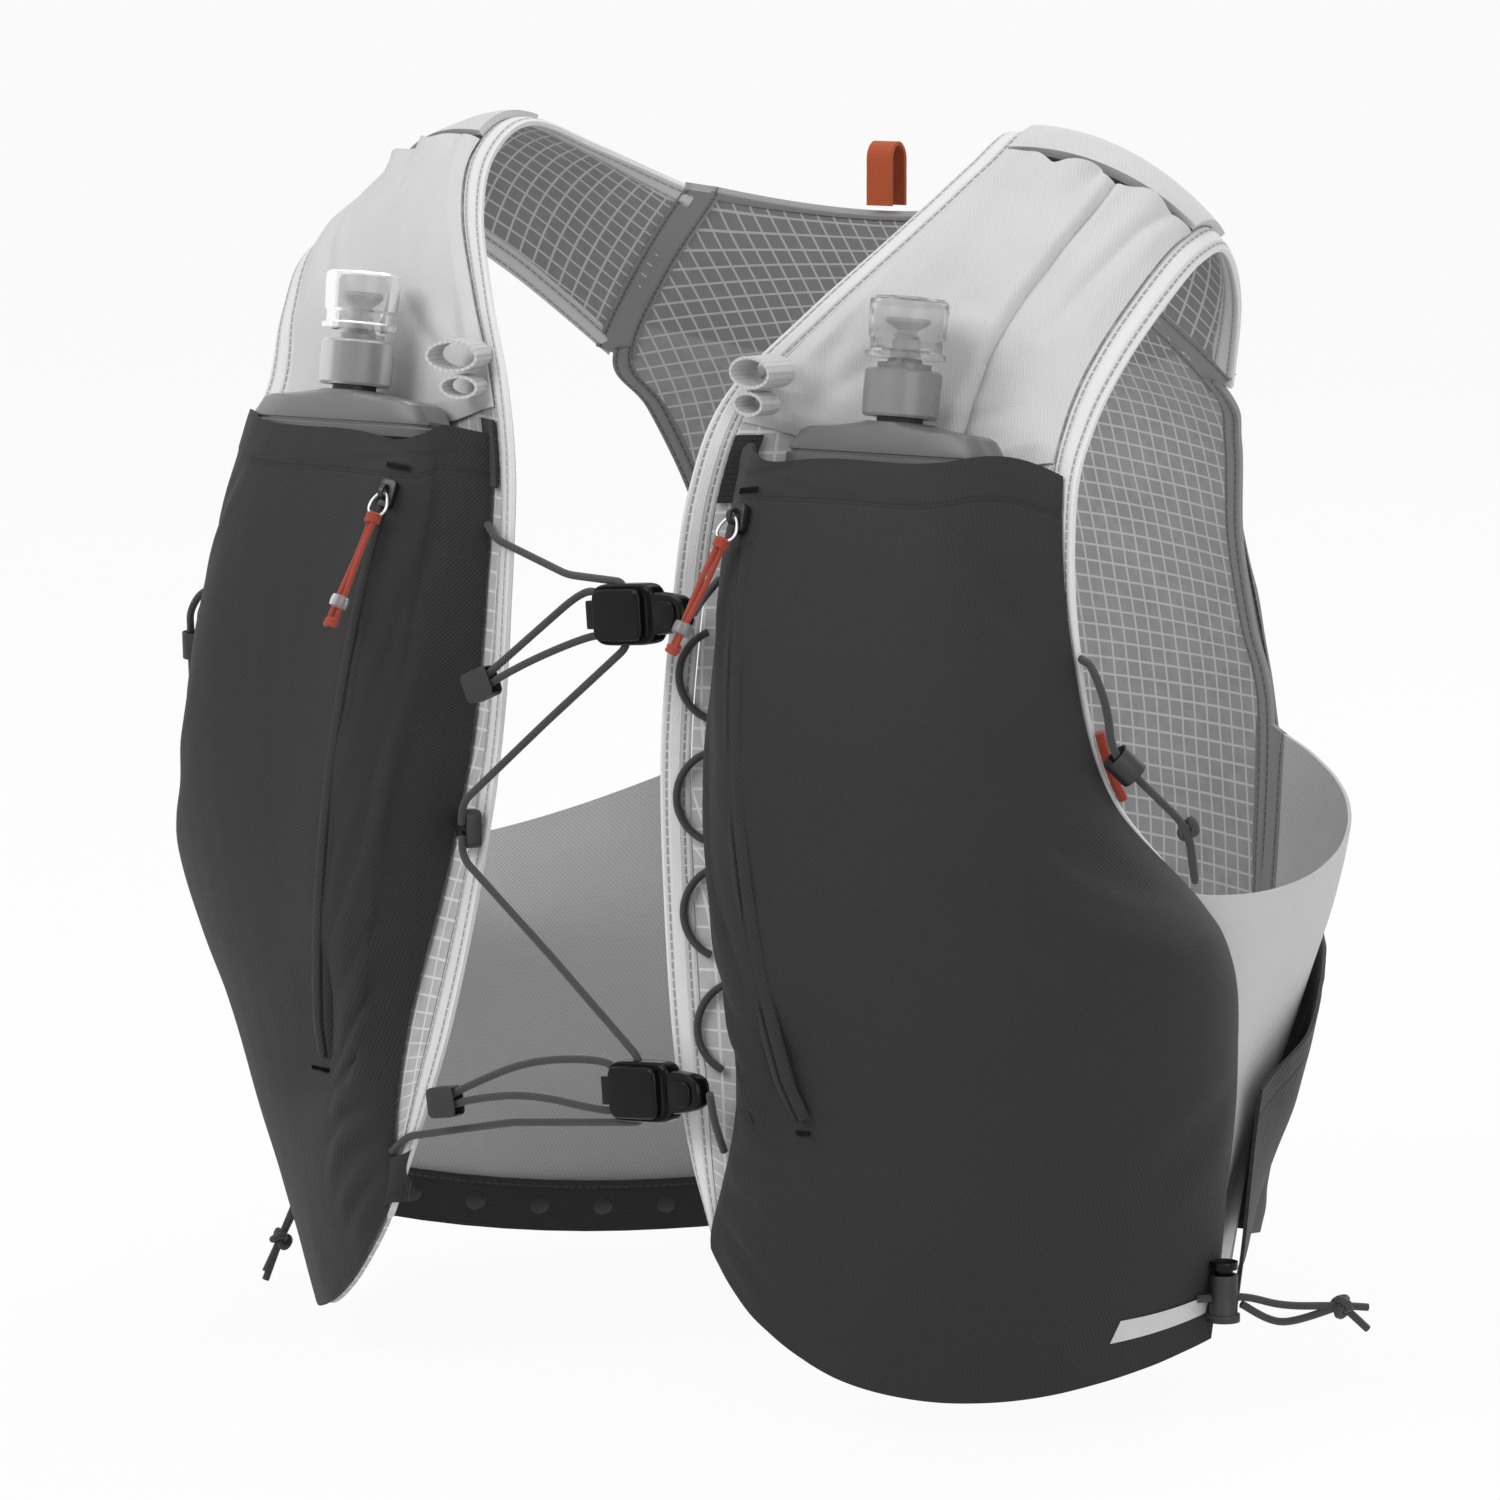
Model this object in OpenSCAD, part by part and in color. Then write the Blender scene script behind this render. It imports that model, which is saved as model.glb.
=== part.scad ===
// Running hydration vest: two front panels with flask pockets, shoulder straps,
// stretch side wings, a back panel with a zipped bag, and elastic lacing.
// Millimetres. +Z is up, the front faces -Y, +X is the wearer's left.
// The origin is on the torso axis, level with the lower edge of the hem.

/* [Fit] */
// Width across the side wings at the underarm
chest_w = 370; // [355:1:390]
// Depth from the front panels to the back panel
chest_d = 250; // [240:1:262]
// Height from the hem to the top of the shoulder straps
pack_h = 400; // [390:1:415]

/* [Fabric] */
// Thickness of the sewn panels
panel_t = 1.6; // [1.2:0.1:2]
// Thickness of the stretch fabric of pockets, wings and overlays
stretch_t = 1.2; // [0.8:0.1:1.4]
// Thickness of the foam behind the back panel
pad_t = 4; // [3:0.5:6]
// Width of the edge tape on straps and front panels
tape_w = 9.5; // [8:0.5:11]
// Thickness of the edge tape, folded round the panel
tape_t = 3; // [2.6:0.1:3.6]
// Gap between layers that are not sewn together
layer_gap = 0.3; // [0.2:0.05:0.5]
// Height of the elastic hem band
hem_h = 18; // [14:1:22]

/* [Pockets] */
// Deepest bulge of a front pocket
pocket_depth = 38; // [37:0.5:40]
// Depth of the main bag behind the back panel
bag_depth = 42; // [38:1:46]
// Width of a zip's tape
zip_w = 7; // [6:0.5:9]

/* [Flask] */
// Width of a soft flask
flask_w = 76; // [70:1:78]
// Thickness of a soft flask
flask_t = 23; // [20:0.5:24]
// Length of the soft body below the neck
flask_l = 168; // [150:1:172]
// Diameter of the screw cap
cap_d = 19; // [18:0.5:21]
// Height of the screw cap
cap_h = 19; // [16:0.5:21]
// Height of the clear cover over the bite valve
cover_h = 19; // [17:0.5:21]

/* [Cords] */
// Diameter of the elastic cord
cord_d = 2.5; // [2.2:0.1:2.7]
// Length of a lace lock's body
lock_l = 25; // [23:0.5:27]
// Height of a lace lock's body
lock_h = 17; // [15:0.5:18]
// Thickness of a lace lock's body
lock_t = 8; // [7.5:0.5:9]
// Travel of a lock's button
button_travel = 1.5; // [1:0.1:1.8]
// Diameter of a hem lock's barrel
barrel_d = 9; // [8:0.5:10]
// Width of the hang loop's webbing
loop_w = 10; // [8:0.5:12]
// Height of the hang loop above the neck edge
loop_h = 22; // [18:0.5:26]

/* [Hidden] */
$fn = 32;
fit_x = chest_w / 370;
fit_y = chest_d / 250;
fit_z = pack_h / 400;
cord_r = cord_d / 2;
half_panel = panel_t / 2;
run_gap = 0.5;
pad_gap = 1.2;

// Each sewn surface is a list of stations from its lower edge upwards, and a
// station is a cubic curve across: two ends and two handles.
function fit(p) = [p[0] * fit_x, p[1] * fit_y, p[2] * fit_z];
function fitted(rows) = [for (r = rows) [for (p = r) fit(p)]];

// Wearer's left front panel and strap, from the lower front tip over the
// shoulder to the back yoke, from the neck edge out to the arm edge.
harness_rows = fitted([
    [[64, -124, 58], [85, -127, 14], [142, -108, -6], [179, -18, 24]],
    [[54, -123, 84], [90, -120, 56], [152, -88, 48], [181, -15, 60]],
    [[46, -121, 116], [88, -108, 112], [152, -88, 112], [183, -13, 116]],
    [[39, -117, 162], [85, -94, 163], [158, -92, 162], [184, -26, 158]],
    [[34, -112, 210], [80, -83, 210], [147, -87, 209], [177, -71, 203]],
    [[34, -106, 255], [75, -76, 255], [141, -77, 254], [172, -83, 250]],
    [[36, -100, 291], [73, -72, 292], [131, -66, 293], [166, -76, 292]],
    [[44, -92, 320], [80, -68, 321], [130, -56, 320], [162, -60, 314]],
    [[62, -75, 345], [90, -60, 347], [134, -48, 346], [164, -44, 334]],
    [[82, -52, 371], [106, -44, 374], [141, -33, 369], [168, -25, 353]],
    [[94, -32, 390], [116, -26, 393], [145, -15, 385], [166, -4, 363]],
    [[95, -11, 400], [118, -5, 403], [144, 6, 392], [162, 16, 364]],
    [[86, 14, 391], [108, 24, 390], [134, 36, 376], [149, 44, 346]],
    [[64, 40, 376], [86, 51, 358], [110, 64, 335], [127.5, 74, 316]]
]);
// The other strap sits a little fuller at the shoulder and narrower at its foot:
// millimetres added outwards to its neck edge, its handles and its arm edge.
harness_slack = [
    [0, -5, -14, -12], [0, -3, -11, -11], [-2, -1, -6, -6], [-4, 0, -4, -4], [-4, 0, -5, -5],
    [-3, 0, -4, -3], [-2, 0, -2, 0], [-1, 3, 5, 7], [0, 6, 10, 13], [2, 8, 13, 14],
    [1, 5, 8, 6], [0, 2, 2, 1], [0, 0, 0, 0], [0, 0, 0, 0]
];
harness_rows_right = [for (i = [0:len(harness_rows) - 1])
    [for (j = [0:3]) harness_rows[i][j] + [harness_slack[i][j], 0, 0]]];
function harness_side(k) = k == 0 ? harness_rows : harness_rows_right;
// Side wing, from the front seam back to the edge of the back panel.
wing_rows_left = fitted([
    [[180, -13, 24], [153, 28, 34], [124, 76, 30], [101, 117, 12]],
    [[182, -11, 60], [158, 28, 60], [129, 78, 56], [105, 123, 50]],
    [[184.5, -10, 100], [178, 33, 100], [146, 86, 98], [109, 125, 98]],
    [[186, -11, 138], [192, 36, 138], [166, 100, 142], [113, 123, 150]],
    [[184, -22, 168], [198, 28, 158], [184, 108, 176], [119, 115, 200]]
]);
// The other wing hangs lower and slacker.
wing_rows_right = fitted([
    [[181, -13, 14], [153, 30, 4], [123, 78, 3], [101, 117, 6]],
    [[182, -11, 50], [156, 30, 40], [127, 78, 42], [105, 123, 46]],
    [[184.5, -10, 92], [170, 33, 78], [138, 84, 80], [107.5, 124.5, 88]],
    [[186, -11, 128], [178, 34, 108], [147, 90, 112], [111, 124, 128]],
    [[184, -20, 158], [192, 28, 134], [176, 104, 146], [117, 117, 172]]
]);
// Back panel: half width, edge depth and edge height, then centre depth and height.
back_stations = [
    [100, 118, 6, 132, 4], [104, 124, 50, 138, 48], [108, 126, 100, 142, 100],
    [112, 124, 150, 142, 155], [118, 116, 206, 136, 208], [113, 112, 235, 128, 241],
    [114, 102, 265, 118, 273], [122, 88, 297, 103, 308], [126, 73, 315, 91, 328],
    [98, 58, 346, 74, 351], [62, 41, 376, 59, 369]
];
// Main bag, half of it, from its side seam to the middle.
bag_bulge = bag_depth - 42;
bag_rows = fitted([
    [[70, 134, 14], [52, 140, 12], [30, 143, 10], [0, 143, 10]],
    [[78, 137, 50], [70, 147, 48], [40, 154, 46], [0, 155, 46]],
    [[106, 135, 106], [96, 168, 105], [48, 184, 104], [0, 186, 104]],
    [[111, 129, 188], [98, 162, 189], [48, 178, 190], [0, 180, 190]],
    [[105, 117, 258], [92, 140, 260], [46, 152, 262], [0, 154, 262]],
    [[100, 104, 299], [84, 124, 308], [56, 128, 312], [0, 128, 312]]
]);
// Rear stash pocket, half of it, as points from the wing's front seam to the middle.
rear_rows = fitted([
    [[183, -9, 30], [159, 33, 37], [133, 78, 35], [110, 117, 28], [60, 148, 20], [0, 153, 18]],
    [[185, -7, 54], [164, 34, 58], [136, 80, 57], [112, 123, 52], [64, 162, 46], [0, 167, 44]],
    [[187, -5, 84], [176, 36, 90], [146, 87, 96], [115, 130, 98], [68, 182, 98], [0, 196, 98]],
    [[189, -4, 102], [182, 38, 118], [153, 92, 132], [118, 136, 144], [68, 180, 156], [0, 194, 158]]
]);

// Curves and surfaces.
function bez(p, t) =
    pow(1 - t, 3) * p[0] + 3 * pow(1 - t, 2) * t * p[1]
    + 3 * (1 - t) * t * t * p[2] + pow(t, 3) * p[3];
function smooth(p, s) =
    let (n = len(p) - 1, i = max(0, min(floor(s), n - 1)), t = s - i,
         a = p[max(i - 1, 0)], b = p[i], c = p[i + 1], d = p[min(i + 2, n)])
    b + 0.5 * t * (c - a) + t * t * (a - 2.5 * b + 2 * c - 0.5 * d)
    + t * t * t * (1.5 * (b - c) + 0.5 * (d - a));
function station(rows, s) = [for (k = [0:len(rows[0]) - 1]) smooth([for (r = rows) r[k]], s)];
function across(rows, u, s) = bez(station(rows, s), u);
function unit(v) = v / norm(v);
function mix(a, b, t) = a + (b - a) * t;
function clamp(x) = max(0, min(1, x));
function bump(t) = pow(max(0, 1 - pow(abs(2 * t - 1), 4)), 0.7);
function flip_x(p) = [-p[0], p[1], p[2]];

// Outward normals of a grid of points, from its neighbours.
function grid_normal(g, i, j) =
    let (n = len(g) - 1, m = len(g[0]) - 1)
    unit(cross(g[i][min(j + 1, m)] - g[i][max(j - 1, 0)],
               g[min(i + 1, n)][j] - g[max(i - 1, 0)][j]));
function raised(g, h) =
    [for (i = [0:len(g) - 1]) [for (j = [0:len(g[0]) - 1])
        g[i][j] + grid_normal(g, i, j) * (is_list(h) ? h[j] : h)]];

// A closed sheet that lies between the offsets low and high of a grid.
module sheet(g, low, high) {
    n = len(g) - 1;
    m = len(g[0]) - 1;
    w = m + 1;
    count = (n + 1) * w;
    top = raised(g, high);
    under = raised(g, low);
    points = concat([for (r = top) for (p = r) p], [for (r = under) for (p = r) p]);
    faces = concat(
        [for (i = [0:n - 1]) for (j = [0:m - 1]) for (f = [
            [i * w + j, (i + 1) * w + j, (i + 1) * w + j + 1],
            [i * w + j, (i + 1) * w + j + 1, i * w + j + 1],
            [count + i * w + j, count + (i + 1) * w + j + 1, count + (i + 1) * w + j],
            [count + i * w + j, count + i * w + j + 1, count + (i + 1) * w + j + 1]]) f],
        [for (i = [0:n - 1]) for (f = [
            [i * w, count + i * w, count + (i + 1) * w],
            [i * w, count + (i + 1) * w, (i + 1) * w],
            [i * w + m, count + (i + 1) * w + m, count + i * w + m],
            [i * w + m, (i + 1) * w + m, count + (i + 1) * w + m]]) f],
        [for (j = [0:m - 1]) for (f = [
            [j, count + j + 1, count + j],
            [j, j + 1, count + j + 1],
            [n * w + j, count + n * w + j, count + n * w + j + 1],
            [n * w + j, count + n * w + j + 1, n * w + j + 1]]) f]);
    polyhedron(points, faces, convexity = 6);
}

// A round cord along a list of points. side is a direction that it never runs along.
module cord(path, side, r = cord_r, sides = 8) {
    n = len(path) - 1;
    rings = [for (i = [0:n])
        let (t = unit(path[min(i + 1, n)] - path[max(i - 1, 0)]),
             a = unit(cross(t, side)), b = cross(t, a))
        [for (k = [0:sides - 1])
            path[i] + r * (cos(360 * k / sides) * a + sin(360 * k / sides) * b)]];
    points = [for (ring = rings) for (p = ring) p];
    faces = concat(
        [[for (k = [0:sides - 1]) k]],
        [[for (k = [sides - 1:-1:0]) n * sides + k]],
        [for (i = [0:n - 1]) for (k = [0:sides - 1])
            let (k2 = (k + 1) % sides)
            for (f = [[i * sides + k, (i + 1) * sides + k, (i + 1) * sides + k2],
                      [i * sides + k, (i + 1) * sides + k2, i * sides + k2]]) f]);
    polyhedron(points, faces, convexity = 6);
}
function curve(p, steps) = [for (i = [0:steps]) smooth(p, (len(p) - 1) * i / steps)];
// Out along a path and back beside it, round a small turn at its end.
function looped(p, off) =
    let (n = len(p) - 1, t = unit(p[n] - p[n - 1]))
    concat(p, [p[n] + off / 2 + t * norm(off) / 2], [for (i = [n:-1:0]) p[i] + off]);
// Puts children with their X axis along x and their Z axis near z at a place.
module placed(at, x, z) {
    ex = unit(x);
    ey = unit(cross(z, ex));
    ez = cross(ex, ey);
    multmatrix([[ex[0], ey[0], ez[0], at[0]], [ex[1], ey[1], ez[1], at[1]],
                [ex[2], ey[2], ez[2], at[2]], [0, 0, 0, 1]]) children();
}
module mirrored() { mirror([1, 0, 0]) children(); }
module rounded_bar(l, w, h, r) {
    linear_extrude(height = h, center = true) {
        square([l - 2 * r, w], center = true);
        square([l, w - 2 * r], center = true);
        for (x = [-1, 1], y = [-1, 1])
            translate([x * (l / 2 - r), y * (w / 2 - r)]) circle(r);
    }
}

// Harness: positions on it, measured in millimetres in from either edge.
function from_neck_edge(s, d, k) =
    let (r = station(harness_side(k), s)) d / (3 * norm(r[1] - r[0]));
function from_arm_edge(s, d, k) =
    let (r = station(harness_side(k), s)) 1 - d / (3 * norm(r[3] - r[2]));
harness_end = len(harness_rows) - 1;
tape_in = tape_w + run_gap;
arm_tape_start = 3.5;
function panel_arm_in(s) = 0.5 + (tape_in - 0.5) * clamp((s - 3.15) / 0.25);
function harness_grid(s0, s1, rows, cols, neck_in, k) =
    [for (i = [0:rows]) let (s = mix(s0, s1, i / rows))
        [for (j = [0:cols])
            across(harness_side(k),
                mix(from_neck_edge(s, neck_in, k), from_arm_edge(s, panel_arm_in(s), k), j / cols),
                s)]];
function edge_strip(s0, s1, rows, width, neck, k) =
    [for (i = [0:rows]) let (s = mix(s0, s1, i / rows))
        [for (d = neck ? [0, width / 2, width] : [width, width / 2, 0])
            across(harness_side(k), neck ? from_neck_edge(s, d, k) : from_arm_edge(s, d, k), s)]];
function harness_normal(u, s, k) =
    let (e = 0.01)
    unit(cross(across(harness_side(k), u + e, s) - across(harness_side(k), u - e, s),
               across(harness_side(k), u, s + e) - across(harness_side(k), u, s - e)));

// A point on the harness, d in from the neck edge (or the arm edge), lifted off it.
function on_strap(s, d, k, lift) = let (u = from_neck_edge(s, d, k))
    across(harness_side(k), u, s) + harness_normal(u, s, k) * lift;
function at_arm(s, d, k, lift) = let (u = from_arm_edge(s, d, k))
    across(harness_side(k), u, s) + harness_normal(u, s, k) * lift;

// Front pocket: a bulged sheet over the harness, open along its top edge.
pocket_tops = [6.56, 6.32, 6.1, 6.05, 6.22];
function pocket_top(w) = smooth(pocket_tops, 4 * w);
pocket_arm_in = [0.6, 0.6, 0.6, 1, 1.5, 2, 5, 9];
pocket_neck_in = [2, 15, 21, 19, 18, 17, 16, 14];
pocket_rise = [0, 14, 30, 39.4, 40, 38.4, 33.4, 25.6];
pocket_lift = tape_t / 2 + layer_gap + 0.4;
pocket_cols = 16;
zip_at = 0.25;
zip_reach = 0.2;

// The front zip lies on the circle through three points.
zip_top = fit([71, -112, 289]);
zip_mid = fit([79, -132, 205]);
zip_low = fit([95, -121, 100]);
function circle_centre(a, b, c) =
    let (ab = b - a, ac = c - a, n = cross(ab, ac))
    a + (cross(n, ab) * (ac * ac) + cross(ac, n) * (ab * ab)) / (2 * (n * n));
zip_centre = circle_centre(zip_top, zip_mid, zip_low);
zip_axis = unit(cross(zip_top - zip_centre, zip_mid - zip_centre));
zip_sweep = let (a = zip_top - zip_centre, b = zip_low - zip_centre)
    atan2(cross(a, b) * zip_axis, a * b);
function turned(v, axis, angle) =
    v * cos(angle) + cross(axis, v) * sin(angle) + axis * (axis * v) * (1 - cos(angle));
function zip_point(t) =
    zip_centre + turned(zip_top - zip_centre, zip_axis, zip_sweep * t);
function zip_out(t) = unit(zip_point(t) - zip_centre);
function zip_share(z) = (zip_top[2] - z) / (zip_top[2] - zip_low[2]);

function pocket_base(w, s, k) =
    let (u = mix(from_neck_edge(s, smooth(pocket_neck_in, s), k),
                 from_arm_edge(s, smooth(pocket_arm_in, s), k), w),
         rise = smooth(pocket_rise, s) * pocket_depth / 38)
    across(harness_side(k), u, s) + harness_normal(u, s, k) * (pocket_lift + bump(w) * rise);
// The fabric beside the zip is drawn onto the zip's own curve.
function pocket_point(w, s, k) =
    let (p = pocket_base(w, s, k), at_zip = pocket_base(zip_at, s, k), t = zip_share(at_zip[2]),
         share = clamp(3 - 2 * abs(2 * t - 1)),
         near = exp(-pow((w - zip_at) / zip_reach, 2)) * clamp(w / 0.1) * clamp((1 - w) / 0.1))
    p + near * share * (zip_point(max(-0.06, min(1.06, t))) - at_zip);
function pocket_grid(rows, k) =
    [for (i = [0:rows]) [for (j = [0:pocket_cols]) let (w = j / pocket_cols)
        pocket_point(w, i / rows * pocket_top(w), k)]];

// Back panel and what lies on it.
back_end = len(back_stations) - 1;
function back_point(u, s) =
    let (r = [for (k = [0:4]) smooth([for (q = back_stations) q[k]], s)],
         c = 1 - 2 * u, m = 1 - c * c)
    [r[0] * c * fit_x, mix(r[1], r[3], m) * fit_y, mix(r[2], r[4], m) * fit_z];
function back_grid(s0, s1, rows, cols, u_in, u_top) =
    [for (i = [0:rows]) [for (j = [0:cols]) let (s = mix(s0, s1, i / rows),
        e = mix(u_in, u_top, clamp((s - yoke) / 0.15)))
        back_point(mix(e, 1 - e, j / cols), s)]];
yoke = 8;
pad_top = half_panel + pad_gap + pad_t;

// Half rows made whole: from one side seam round to the other.
function whole_bag(v, s) =
    let (p = across(bag_rows, v < 0.5 ? 2 * v : 2 - 2 * v, s),
         q = p + [0, bag_bulge * sin(180 * v) * clamp(s), 0])
    v < 0.5 ? q : flip_x(q);
bag_end = len(bag_rows) - 1;
bag_cols = 16;
function bag_grid(rows) =
    [for (i = [0:rows]) [for (j = [0:bag_cols]) whole_bag(j / bag_cols, bag_end * i / rows)]];
function whole_rear(v, s) =
    let (k = v < 0.5 ? 10 * v : 10 - 10 * v, p = smooth(station(rear_rows, s), k),
         q = p + [0, bag_bulge * clamp((k - 3) / 2), 0])
    v < 0.5 ? q : flip_x(q - [rear_slack(s) * clamp(1 - k / 2.5), 0, 0]);
function rear_slack(s) = 13 * clamp((3.4 - s) / 3);

module back_panel() {
    color("dimgray")
        sheet(back_grid(0.05, back_end - 0.12, 20, 12, 0.045, 0.012), -half_panel, half_panel);
}
module back_pad() {
    color("black") sheet(back_grid(0.6, 7.1, 12, 10, 0.1, 0.1), half_panel + pad_gap, pad_top);
}
module back_tape() {
    color("darkgray") {
        for (side = [0, 1])
            sheet([for (i = [0:24]) let (s = mix(0.05, yoke - 0.1, i / 24))
                    [for (j = [0:1]) back_point(side == 0
                        ? mix(0, 0.04, j) : mix(0.96, 1, j), s)]],
                -tape_t / 2, tape_t / 2);
        sheet([for (i = [0:1]) [for (j = [0:12])
                back_point(mix(0.01, 0.99, j / 12), back_end - 0.09 + 0.27 * i)]],
            -tape_t / 2, tape_t / 2);
    }
}
module bag_shell() {
    color("dimgray") {
        sheet(bag_grid(14), 0, stretch_t);
        // The top closes in to the back panel, leaving a straight slot for the zip.
        sheet([[for (j = [0:12]) zip_line(-94 + 188 * j / 12, -4.6)],
               [for (j = [0:12]) back_point(0.94 - 0.88 * j / 12, 7.8)
                   + [0, pad_lift - 2, 2.2]]], 0, 0.9);
        sheet([[for (j = [0:8]) zip_line(mix(-64, 64, j / 8), 5.8) + [0, 0, -3.4]],
               [for (j = [0:8]) zip_line(mix(-64, 64, j / 8), 4.9)]], -0.5, 0.5);
    }
}
pad_lift = half_panel + pad_gap + 1;
function zip_line(x, y) = let (e = clamp((abs(x) - 66) / 34))
    [x * fit_x, zip_face[1] + y - 9 * e * e, zip_face[2] - 15 * e * e];

// The bag's mouth leans in to the back panel; its zip runs straight across it.
zip_half = 58;
zip_face = fit([0, 122, 317]);
module bag_zip() {
    color("black") {
        for (y = [-1, 1])
            translate(zip_face + [0, y * 2.2, 0])
                cube([2 * zip_half + 16, 4, 1], center = true);
        translate(zip_face) cube([2 * zip_half, 1.4, 2.2], center = true);
    }
}
module bladder_sleeve() {
    color("gray")
        sheet(back_grid(1.2, 6.4, 10, 10, 0.17, 0.17), pad_top + 0.8, pad_top + 1.8);
}
module rear_pocket() {
    color("#262626")
        sheet([for (i = [0:6]) [for (j = [0:24]) whole_rear(j / 24, i / 2)]], 0, stretch_t);
}
wing_end = 0.982;
module hem_band() {
    function low(k) = k < 10
        ? wing_point(wing_rows_left, 0, 0.04 + 0.92 * k / 9, 0.02)
        : k < 19 ? back_point(0.08 + 0.84 * (k - 10) / 8, 0.05)
        : flip_x(wing_point(wing_rows_right, 1, 0.04 + 0.92 * (28 - k) / 9, 0.02));
    // It passes inside the edge tapes and lies on the panels between them.
    inset = [for (k = [0:28]) -layer_gap - (k > 7 && k < 11 || k > 17 && k < 21
        ? tape_t / 2 : half_panel)];
    color("#262626")
        sheet([for (i = [0:1]) [for (k = [0:28]) low(k) + [0, 0, i * hem_h]]],
            inset - [for (k = [0:28]) 1.4], inset);
}
module hang_loop() {
    color("#b04026") translate(fit([0, 59, 369]) + [0, 0, loop_h / 2 + 3])
        rotate([90, 0, 90]) linear_extrude(height = loop_w, center = true) difference() {
            square([9, loop_h], center = true);
            square([6.6, loop_h - 2.4], center = true);
        }
}

module harness(k) {
    color("lightgray")
        sheet(harness_grid(0.03, harness_end - 0.03, 27, 8, tape_in, k), -half_panel, half_panel);
}
module strap_tape(k) {
    color("gainsboro") {
        sheet(edge_strip(0.02, harness_end - 0.03, 30, tape_w, true, k), -tape_t / 2, tape_t / 2);
        sheet(edge_strip(arm_tape_start, harness_end - 0.03, 22, tape_w, false, k),
            -tape_t / 2, tape_t / 2);
    }
}
module shoulder_overlay(k) {
    s_top = 10.6;
    g = [for (i = [0:10]) [for (j = [0:8])
        let (w = j / 8, s = mix(pocket_top(w) + 0.16, s_top, i / 10),
             u = mix(from_neck_edge(s, tape_in, k), from_arm_edge(s, tape_in, k), w),
             open_top = pow(clamp((s - 9.6) / (s_top - 9.6)), 2) * sin(180 * w))
        across(harness_side(k), u, s) + harness_normal(u, s, k)
            * (half_panel + layer_gap + 0.2 + 3 * open_top)]];
    color("lightgray") sheet(g, 0, 0.9);
}
module front_pocket(k) {
    color("#383838") sheet(pocket_grid(14, k), 0, stretch_t);
}
module front_zip() {
    color("black")
        sheet([for (i = [0:12]) let (t = 0.965 * (1 - i / 12)) [for (j = [0:1])
            zip_point(t) + zip_axis * zip_side * (j - 0.5) * zip_w]],
            zip_face_r - zip_t, zip_face_r);
}
zip_side = zip_axis[0] > 0 ? 1 : -1;
zip_t = 0.35;
zip_face_r = stretch_t + 2 + 0.7;

// A wing's front edge is sewn along the arm edge of its front panel.
wing_seam = [[0, 1, 1.71, 2.52, 3.22], [0, 0.72, 1.57, 2.29, 3]];
function wing_station(rows, k, s) =
    let (r = station(rows, s), seam = across(harness_side(k), 1, smooth(wing_seam[k], s)))
    [seam, r[1] + (seam - r[0]) * 0.6, r[2] + (seam - r[0]) * 0.2, r[3]];
function wing_point(rows, k, t, s) = bez(wing_station(rows, k, s), t);
module side_wing(rows, k) {
    color("silver")
        sheet([for (i = [0:8]) [for (j = [0:12])
            wing_point(rows, k, wing_end * j / 12, (len(rows) - 1) * i / 8)]],
            -stretch_t / 2, stretch_t / 2);
}

// Soft flask: lens-shaped body, round neck, screw cap, bite valve and clear cover.
flask_lean = 8.6;
flask_at = fit([109, -114.5, 144]);
neck_r = cap_d / 2 - 2;
neck_h = cap_h - 3;
slip = 0.3;
module at_flask() { translate(flask_at) rotate([-flask_lean, 0, 0]) children(); }
flask_profile = [
    [0, 0.72, 0.10], [2.5, 0.86, 0.30], [9, 0.95, 0.62], [26, 1, 0.94], [60, 1, 1],
    [110, 1, 1], [flask_l - 22, 0.99, 0.93], [flask_l - 8, 0.96, 0.72],
    [flask_l - 2, 0.93, 0.52], [flask_l, 0.88, 0.40]
];
module flask_body() {
    sides = 20;
    n = len(flask_profile) - 1;
    function ring(q) = [for (k = [0:sides - 1]) let (a = 360 * k / sides, c = cos(a), d = sin(a))
        [flask_w / 2 * q[1] * sign(c) * pow(abs(c), 0.75),
         flask_t / 2 * q[2] * sign(d) * pow(abs(d), 0.9), q[0]]];
    points = [for (q = flask_profile) for (p = ring(q)) p];
    polyhedron(points, concat(
        [[for (k = [0:sides - 1]) k]],
        [[for (k = [sides - 1:-1:0]) n * sides + k]],
        [for (i = [0:n - 1]) for (k = [0:sides - 1]) let (m = (k + 1) % sides)
            for (f = [[i * sides + k, (i + 1) * sides + k, (i + 1) * sides + m],
                      [i * sides + k, (i + 1) * sides + m, i * sides + m]]) f]));
}
module flask() {
    color("darkgray") at_flask() {
        flask_body();
        translate([0, 0, flask_l - 0.5]) cylinder(r1 = 13, r2 = neck_r + 1, h = 5.5);
        translate([0, 0, flask_l]) cylinder(r = neck_r, h = neck_h + 5);
    }
}
module flask_cap() {
    color("gray") at_flask() translate([0, 0, flask_l + 5 + slip]) difference() {
        union() {
            cylinder(d = cap_d, h = cap_h);
            translate([0, 0, cap_h - 4]) cylinder(d = cap_d + 5, h = 4);
            translate([0, 0, cap_h]) cylinder(d = 9, h = 3);
        }
        translate([0, 0, -1]) cylinder(r = neck_r + slip, h = neck_h + 1 + slip);
        translate([0, 0, -1]) cylinder(d = 5, h = cap_h + 9);
    }
}
valve_z = flask_l + 5 + slip + cap_h + 3;
module bite_valve() {
    color("whitesmoke") at_flask() translate([0, 0, valve_z]) difference() {
        union() {
            cylinder(d = 9, h = 5);
            translate([0, 0, 5]) cylinder(d1 = 12, d2 = 14, h = 5);
        }
        translate([0, 0, -1]) cylinder(d = 4, h = 9);
    }
}
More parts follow.
